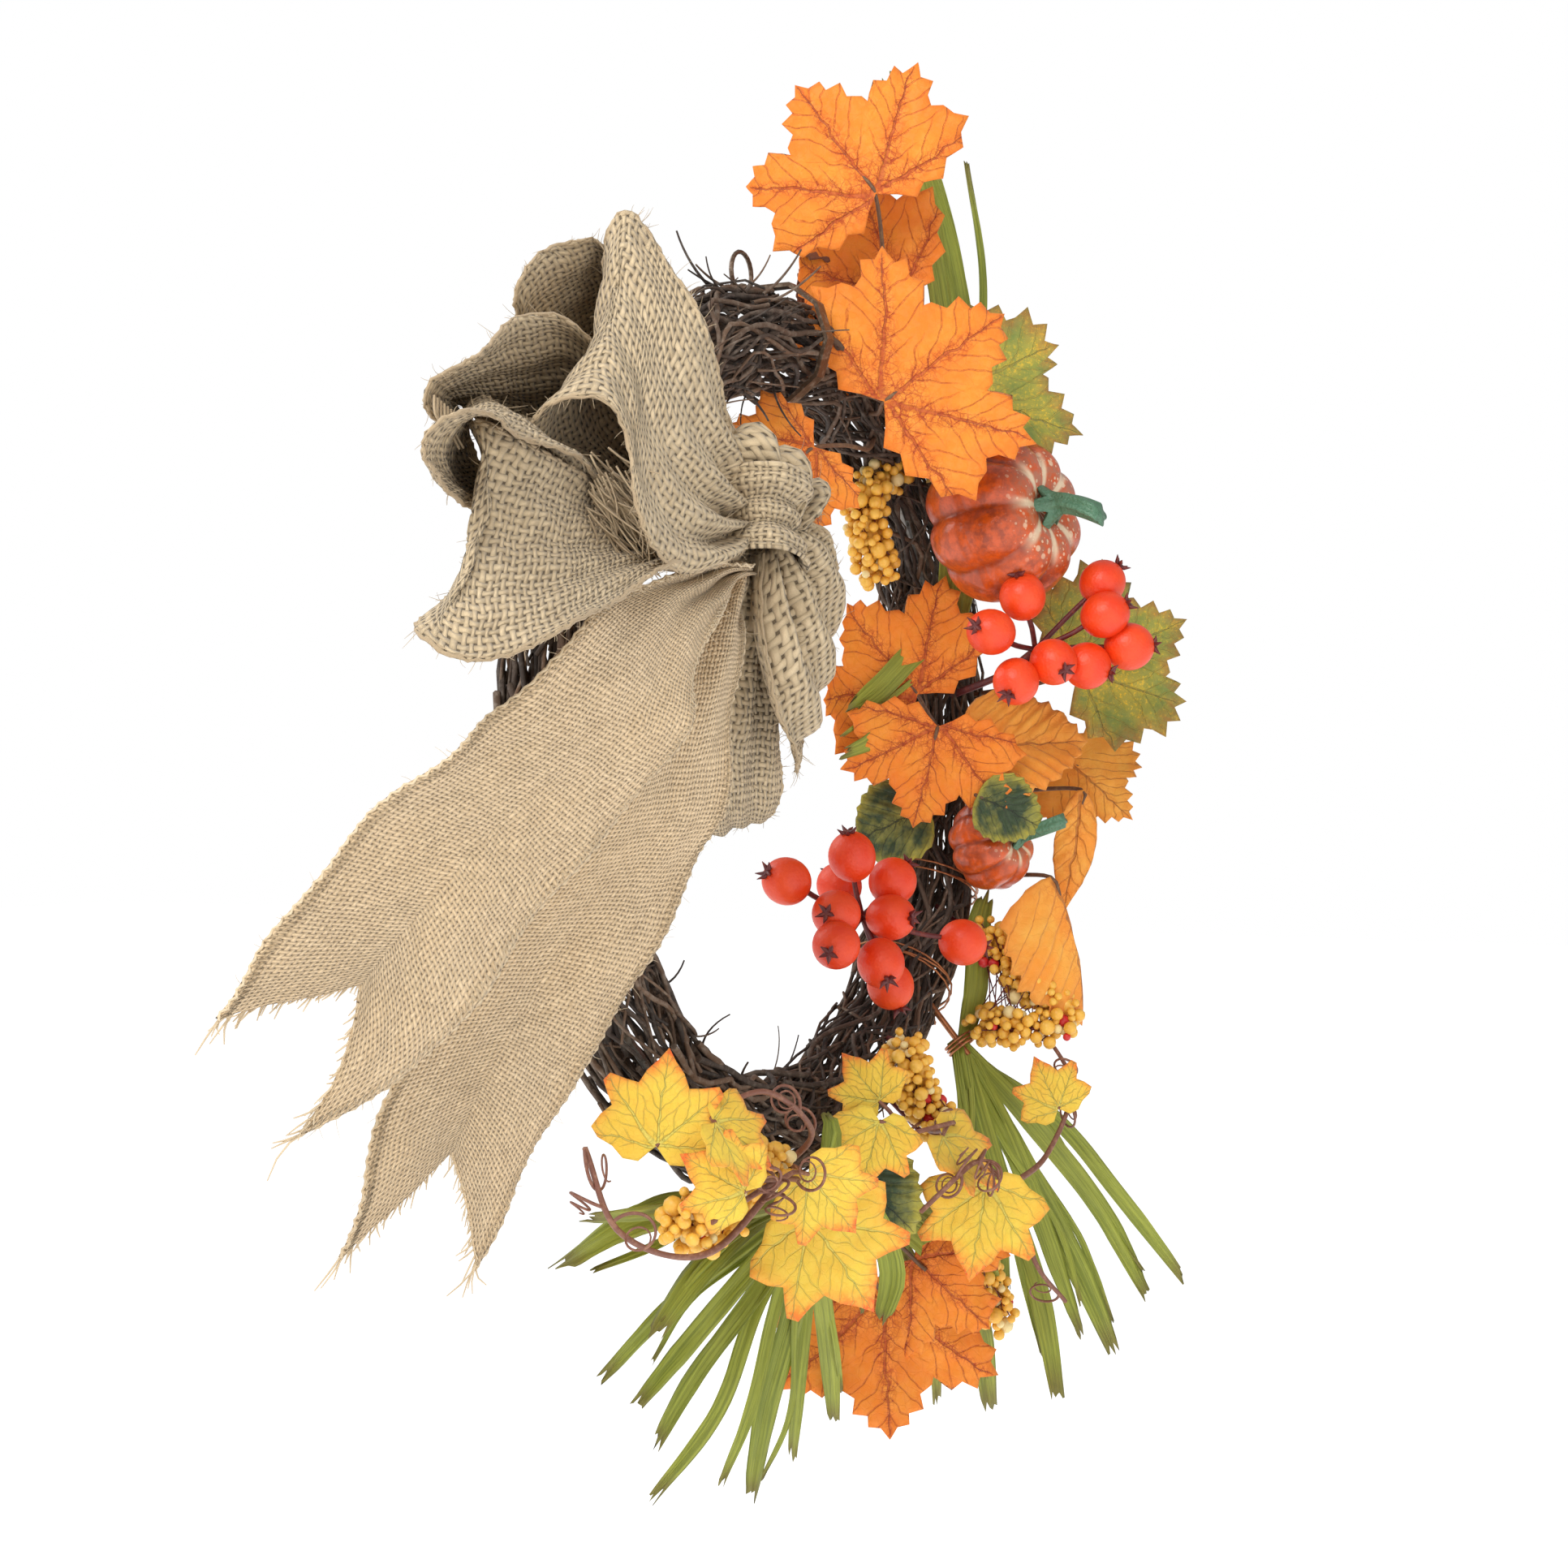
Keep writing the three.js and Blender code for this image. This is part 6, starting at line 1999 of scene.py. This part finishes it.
@dataclass
class RaffiaFan:
    """Creased paper strips that leave one binding together."""

    name: str
    hub: Point
    hub_size: Point
    foot: Point
    strips: Sequence[Strip]
    seed: int = 1

    def build(self, finishes: Finishes) -> None:
        """Make the strips and the wire that binds them.

        Args:
            finishes: The wreath's materials.
        """
        rng = random.Random(self.seed)
        blades = []
        for number, strip in enumerate(self.strips):
            blades.append(self._blade(number, strip, rng))
            if strip.width > 8.5:
                thin = Strip(tuple(c + rng.uniform(-5, 5) for c in strip.to), strip.bow,
                    strip.width * 0.3)
                blades.append(self._blade(100 + number, thin, rng, 0.9))
        hand_over(fuse(f"{self.name}_strips", blades), finishes.raffia, [self.name])
        hub, foot = vec(self.hub), vec(self.foot)
        turns = [(hub - (foot - hub) * 0.2, foot)]
        runs = [(list(pair), [1.2, 1.2]) for pair in turns]
        size = vec(self.hub_size)
        right, along, facing = axes(foot - hub, (0.0, 0.0, 1.0))
        for turn in range(3):
            ring = [hub + along * (1.4 * (turn - 1)) + right * (0.8 * max(size.x,
                size.z) * math.cos(a)) + facing * (0.8 * max(size.x,
                size.z) * math.sin(a)) for a in (math.tau * k / 20 for k in range(21))]
            runs.append((ring, [0.5] * len(ring)))
        hand_over(wires(f"{self.name}_binding", runs), finishes.copper)

    def _blade(self, number: int, strip: Strip, rng: random.Random,
            share: float = 1.0) -> bpy.types.Object:
        """Lay one strip from the binding to its tip.

        Args:
            number: Its number in the fan.
            strip: Its course and width.
            rng: The source of its irregularities.
            share: How much of the course it runs.

        Returns:
            The strip, with its flat layout and how near each point is to its tip.
        """
        start, end = vec(self.hub), vec(strip.to)
        size = vec(self.hub_size) * 0.45
        start = start + Vector([rng.uniform(-s, s) for s in size])
        end = start.lerp(end, share)
        sway = Vector([rng.uniform(-3.5, 3.5) for _ in range(3)])
        run = smooth_run([start, start.lerp(end, 0.35) + vec(strip.bow) * 0.9 - sway * 0.6,
            start.lerp(end, 0.7) + vec(strip.bow) * 0.8 + sway, end], 4.0)
        columns = 6
        last = len(run) - 1
        twist, seed = rng.uniform(-0.8, 0.8), rng.uniform(0.0, 99.0)
        crease = [rng.uniform(-1.0, 1.0) for _ in range(columns + 1)]
        ends = [rng.uniform(0.0, 7.0) * (0.4 if strip.width < 5 else 1.0) for _ in range(columns + 1)]
        points, lay, tips = [], [], []
        for i, point in enumerate(run):
            t = i / last
            heading = (run[min(i + 1, last)] - run[max(i - 1, 0)]).normalized()
            side = heading.cross(vec(LEFTWARD)).normalized()
            side = Matrix.Rotation(twist * t + 0.3 * noise.noise(Vector((t * 4.0, seed, 0.0))), 3,
                heading) @ side
            normal = side.cross(heading)
            spread = 0.74 * strip.width * (0.6 + 0.4 * min(1.0, t * 3.2)) * (1.0 - 0.4 * max(0.0,
                t - 0.75) * 4)
            for k in range(columns + 1):
                u = k / columns - 0.5
                fold = 0.085 * strip.width * (abs(2 * u) - 0.5) * (1.2 - t)
                fold += 0.06 * strip.width * crease[k] * min(1.0, t * 4.0)
                spot = point + side * (u * spread) + normal * (fold + 0.5 * swell_noise(point, 9.0,
                    seed + k * 0.3))
                spot -= heading * (ends[k] * max(0.0, t - 0.9) * 10)
                points.append(spot)
                lay.append((u * strip.width * MM + seed * 0.01, 4.0 * i * MM))
                tips.append(t)
        n = columns + 1
        faces = [(i * n + k, i * n + k + 1, (i + 1) * n + k + 1,
            (i + 1) * n + k) for i in range(last) for k in range(columns)]
        obj = mesh_object(f"{self.name}_strip_{number}", points, faces)
        put_uv(obj, lay)
        put_value(obj, "tip", tips)
        add_modifier(obj, "SOLIDIFY", thickness=0.3 * MM, offset=0.0)
        return obj


# ---- Ivy -------------------------------------------------------------------------------------------
@dataclass
class IvyVine:
    """Brown vines with curly tendrils and small printed leaves."""

    name: str
    vines: Sequence[Sequence[Point]]
    leaves: Sequence[Leaf]
    tendrils: int = 8
    seed: int = 1

    def build(self, finishes: Finishes) -> None:
        """Make the vines, their tendrils and their leaves.

        Args:
            finishes: The wreath's materials.
        """
        rng = random.Random(self.seed)
        runs = [tapered(points, 1.15, 0.7, 2.5) for points in self.vines]
        for _ in range(self.tendrils):
            run = rng.choice(runs[: len(self.vines)])[0]
            runs.append(self._tendril(run[rng.randrange(len(run) // 3, len(run))], rng))
        for leaf in self.leaves:
            foot = vec(leaf.at)
            runs.append(tapered([foot, foot.lerp(vec(leaf.stem[0]), 0.5) + Vector((0, 0, 1.5)),
                *leaf.stem], 0.7, 1.2, 2.5))
        hand_over(wires(f"{self.name}_vines", runs), finishes.vine, [self.name])
        blades = [leaf.blade(f"{self.name}_leaf_{k}", 9) for k, leaf in enumerate(self.leaves, 1)]
        hand_over(fuse(f"{self.name}_leaves", blades), finishes.ivy)

    @staticmethod
    def _tendril(root: Vector, rng: random.Random) -> tuple[list[Vector], list[float]]:
        """Curl a thin tendril off a vine.

        Args:
            root: Where it leaves the vine.
            rng: The source of its shape.

        Returns:
            Its points and the radius at each.
        """
        heading = Vector((rng.gauss(0, 1), -abs(rng.gauss(0, 0.6)), rng.gauss(0, 1))).normalized()
        axis = heading.cross(Vector((rng.gauss(0, 1), rng.gauss(0, 1), rng.gauss(0, 1)))).normalized()
        points, spot, turn = [root], root, rng.uniform(0.12, 0.2)
        for k in range(34):
            heading = (Matrix.Rotation(turn * (1.0 + 0.06 * k), 3, axis) @ heading).normalized()
            spot = spot + heading * 1.3 + axis * 0.14
            points.append(spot)
        return points, [0.55 - 0.009 * k for k in range(len(points))]


@dataclass
class Sprays:
    """Berries, beads, raffia and ivy, where each leaves the ring."""

    finishes: Finishes

    def build(self) -> None:
        """Make every spray."""
        for spray in [*self.berries(), *self.beads(), *self.raffia(), *self.ivy()]:
            spray.build(self.finishes)

    def berries(self) -> list[BerrySpray]:
        """Lay out the berry sprays."""
        return [BerrySpray("berry_spray_upper", (84, -60, 32), [(100, -40, 24), (124, -10, 18)], [(72,
            -60, 50), (58, -54, 37), (98, -80, 56), (90, -84, 44), (98, -90, 33), (88, -78, 26), (76, -70,
            27), (66, -60, 20)]), BerrySpray("berry_spray_lower", (42, -12, -62), [(60, -10, -72), (84,
            -6, -88)], [(12, 2, -49), (34, -12, -41), (50, -20, -50), (52, 2, -52), (18, -14, -60), (10,
            -18, -70), (40, -24, -62), (28, -26, -77), (44, -22, -86), (70, -38, -72)]),]

    def beads(self) -> list[BeadSpray]:
        """Lay out the bead sprays."""
        return [BeadSpray("bead_spray_inner", [(78, -8, 100), (66, -6, 92), (60, -4, 82), (64, -4, 72),
            (70, -4, 62)], [(90, -6, 96), (104, -4, 84)], 9.0, 190, 1), BeadSpray("bead_spray_right",
            [(112, -30, -72), (110, -38, -82), (112, -48, -92), (118, -58, -102), (106, -44, -106), (104,
            -30, -104)], [(116, -16, -68), (118, -6, -62)], 8.5, 230, 2),
            BeadSpray("bead_spray_lower_right", [(44, -28, -108), (46, -30, -120), (54, -32, -130), (62,
            -36, -138)], [(56, -16, -106), (68, -6, -108)], 8.5, 160, 3),
            BeadSpray("bead_spray_bottom_right", [(66, -40, -156), (70, -42, -168), (74, -40, -180), (80,
            -42, -192), (84, -46, -206)], [(66, -26, -142), (66, -8, -126)], 8.5, 200, 4),
            BeadSpray("bead_spray_bottom", [(-56, -30, -136), (-68, -28, -132), (-80, -30, -136), (-94,
            -32, -144), (-108, -32, -144), (-118, -34, -140)], [(-56, -14, -128), (-56, -4, -122)], 9.5,
            260, 5),]

    def raffia(self) -> list[RaffiaFan]:
        """Lay out the raffia fans."""
        return [RaffiaFan("raffia_top", (100, -20, 36), (6, 5, 12), (118, -8, 34), [Strip((66, -10, 240),
            (8, -10, 8), 14), Strip((86, -10, 226), (10, -12, 6), 12), Strip((100, -8, 230), (6, -12, 0),
            8), Strip((128, -14, 222), (0, -8, 0), 4), Strip((110, -14, 176), (2, -12, 0), 12), Strip((62,
            4, 10), width=12), Strip((58, 6, -6), width=9)], 1), RaffiaFan("raffia_side", (104, -22,
            -112), (6, 6, 7), (102, -6, -92), [Strip((192, -80, -211), (4, -2, 8), 8), Strip((168, -74,
            -216), (2, -2, 6), 11), Strip((140, -70, -230), (2, -2, 0), 12), Strip((126, -62, -222), (2,
            -2, 0), 11), Strip((102, -62, -240), (0, -2, 0), 11), Strip((92, -46, -202), width=9),
            Strip((84, -34, -186), width=9), Strip((118, -28, -54), width=12)], 2),
            RaffiaFan("raffia_bottom", (-14, -24, -150), (8, 7, 7), (-12, -8, -136), [Strip((-150, -20,
            -136), (0, 0, 4), 9), Strip((-140, -4, -154), (-2, -4, 6), 13), Strip((-104, -14, -180), (-6,
            -2, 8), 11), Strip((-112, 0, -193), (0, 0, 4), 8), Strip((-94, -2, -204), (0, 0, 2), 9),
            Strip((-84, -2, -220)), Strip((-82, 0, -236), width=7), Strip((-40, 0, -244), width=6),
            Strip((-18, 0, -254), width=11), Strip((8, -2, -246), (2, 0, 0), 7), Strip((32, -6, -238),
            width=9), Strip((88, -20, -244), (8, -6, 16), 7), Strip((100, -36, -246), (10, -6, 18), 12),
            Strip((84, -46, -198), (4, -4, 10), 11), Strip((10, -34, -198), (10, -6, 10), 12), Strip((-14,
            -26, -122), (-2, -4, 0), 9)], 3),]

    def ivy(self) -> list[IvyVine]:
        """Lay out the ivy.

        Returns:
            The vines.
        """
        i = Outline.IVY
        small = {"curl": 3.0, "cup": 2.0, "quilt": 0.035}
        return [IvyVine("ivy_left", [[(-38, -20, -140), (-56, -44, -139), (-90, -50, -132), (-120, -44,
            -140)], [(-38, -20, -140), (-62, -46, -122), (-92, -46, -106), (-112, -36, -112)], [(-90, -50,
            -132), (-116, -40, -150), (-146, -30, -140), (-152, -22, -116)]], [Leaf(i, 28, (-124, -28,
            -119), (0.1, -0.1, 1), stem=[(-112, -36, -112)], seed=31.0, **small), Leaf(i, 23, (-118, -44,
            -112), (0.5, -0.5, -0.5), (-0.3, -0.6, 0.6), [(-112, -36, -112)], seed=32.0, **small), Leaf(i,
            22, (-112, -50, -132), (-0.4, 0.3, 0.3), stem=[(-90, -50, -132)], seed=33.0, **small), Leaf(i,
            25, (-76, -52, -132), (0.4, -0.4, -0.7), stem=[(-90, -50, -132)], seed=34.0, **small), Leaf(i,
            37, (-60, -44, -148), (0.4, -0.5, -0.95), stem=[(-56, -44, -139)], seed=35.0, **small)], 10,
            1), IvyVine("ivy_right", [[(66, -8, -122), (50, -34, -136), (30, -52, -130), (8, -44, -132)],
            [(50, -34, -136), (42, -56, -148), (24, -62, -142), (4, -52, -156)], [(50, -34, -136), (74,
            -54, -158), (84, -60, -186), (98, -66, -202)], [(74, -54, -158), (100, -58, -150), (114, -62,
            -126), (112, -50, -104)]], [Leaf(i, 20, (6, -36, -121), (-0.35, 0.5, 0.8), stem=[(8, -44,
            -132)], seed=36.0, **small), Leaf(i, 23, (2, -38, -127), (-0.2, 0.2, -0.95), stem=[(8, -44,
            -132)], seed=37.0, **small), Leaf(i, 27, (26, -50, -134), (0.4, -0.6, -0.6), (-0.4, -0.2,
            0.9), [(30, -52, -130)], seed=38.0, **small), Leaf(i, 33, (40, -60, -152), (-0.2, 0.1, -0.98),
            stem=[(42, -56, -148)], seed=39.0, **small), Leaf(i, 21, (106, -60, -134), (-0.3, 0.3, 0.9),
            stem=[(112, -62, -130)], seed=40.0, **small)], 12, 2),]


# ---- Stage -----------------------------------------------------------------------------------------
@dataclass(frozen=True)
class Studio:
    """Camera, soft light and a pale floor and backdrop."""

    azimuth: float = -62.0
    distance: float = 800.0
    lens: float = 54.6
    backdrop: Colour = (0.93, 0.93, 0.94)

    def build(self) -> None:
        """Set the camera first, then the lights, the backdrop and the world."""
        scene = bpy.context.scene
        a = math.radians(self.azimuth)
        right = Vector((math.cos(a), math.sin(a), 0.0))
        back = Vector((math.sin(a), -math.cos(a), 0.0))
        camera = bpy.data.objects.new("camera", bpy.data.cameras.new("camera"))
        scene.collection.objects.link(camera)
        spot = back * self.distance + right * 3.0 + Vector((0.0, 0.0, -15.8))
        camera.location = to_frame(spot)
        camera.rotation_euler = back.to_track_quat("Z", "Y").to_euler()
        camera.data.lens, camera.data.sensor_width = self.lens, 36.0
        camera.data.clip_start, camera.data.clip_end = 0.01, 20.0
        scene.camera = camera
        self._light("key", spot + right * -350 + Vector((0, 0, 620)), 8.5, 0.6)
        self._light("fill", spot + right * 500 + Vector((0, 0, 120)), 2.0, 0.9)
        self._light("rim", -back * 250 + right * -520 + Vector((0, 0, 420)), 2.0, 0.5)
        world = bpy.data.worlds.new("pale_room")
        scene.world = world
        world.use_nodes = True
        graph = Graph(world.node_tree)
        seen = graph.num(graph.node("ShaderNodeLightPath").outputs["Is Camera Ray"])
        sky = graph.node("ShaderNodeBackground", {"Color": (1.0, 1.0, 1.0), "Strength": seen * 0.5 + 0.5})
        graph.node("ShaderNodeOutputWorld", {"Surface": sky.outputs[0]})
        scene.view_settings.view_transform = "Standard"
        self._backdrop()

    def _light(self, name: str, spot: Vector, watts: float, size: float) -> None:
        """Add one soft square light that faces the wreath.

        Args:
            name: The object's name.
            spot: Where it stands.
            watts: Its power.
            size: The length of its side.
        """
        lamp = bpy.data.lights.new(name, "AREA")
        lamp.energy, lamp.size = watts, size
        obj = bpy.data.objects.new(name, lamp)
        bpy.context.scene.collection.objects.link(obj)
        obj.location = to_frame(spot)
        obj.rotation_euler = (spot - Vector((0.0, -20.0, 0.0))).to_track_quat("Z", "Y").to_euler()

    def _backdrop(self) -> None:
        """Lay one pale sheet flat as the floor under the wreath."""
        material, graph, shader = start_material("backdrop", Roughness=0.95)
        graph.feed(shader.inputs["Base Color"], self.backdrop)
        graph.feed(shader.inputs["Emission Color"], (1.0, 1.0, 1.0))
        graph.feed(shader.inputs["Emission Strength"], 0.62)
        bpy.ops.mesh.primitive_plane_add(size=12.0, location=(0.0, 0.0, -0.62))
        floor = bpy.context.view_layer.objects.active
        floor.name = floor.data.name = "floor"
        paint(floor, material)


def main() -> None:
    """Build the whole wreath and its stage."""
    logging.basicConfig(level=logging.INFO, format="%(name)s: %(message)s")
    Studio().build()
    finishes = Finishes(Effects())
    for group in (TwigRing(finishes), Hanger(finishes), BurlapBow(finishes), LeafSet(finishes),
            Pumpkins(finishes), Sprays(finishes)):
        group.build()
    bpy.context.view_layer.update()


if __name__ == "__main__":
    main()
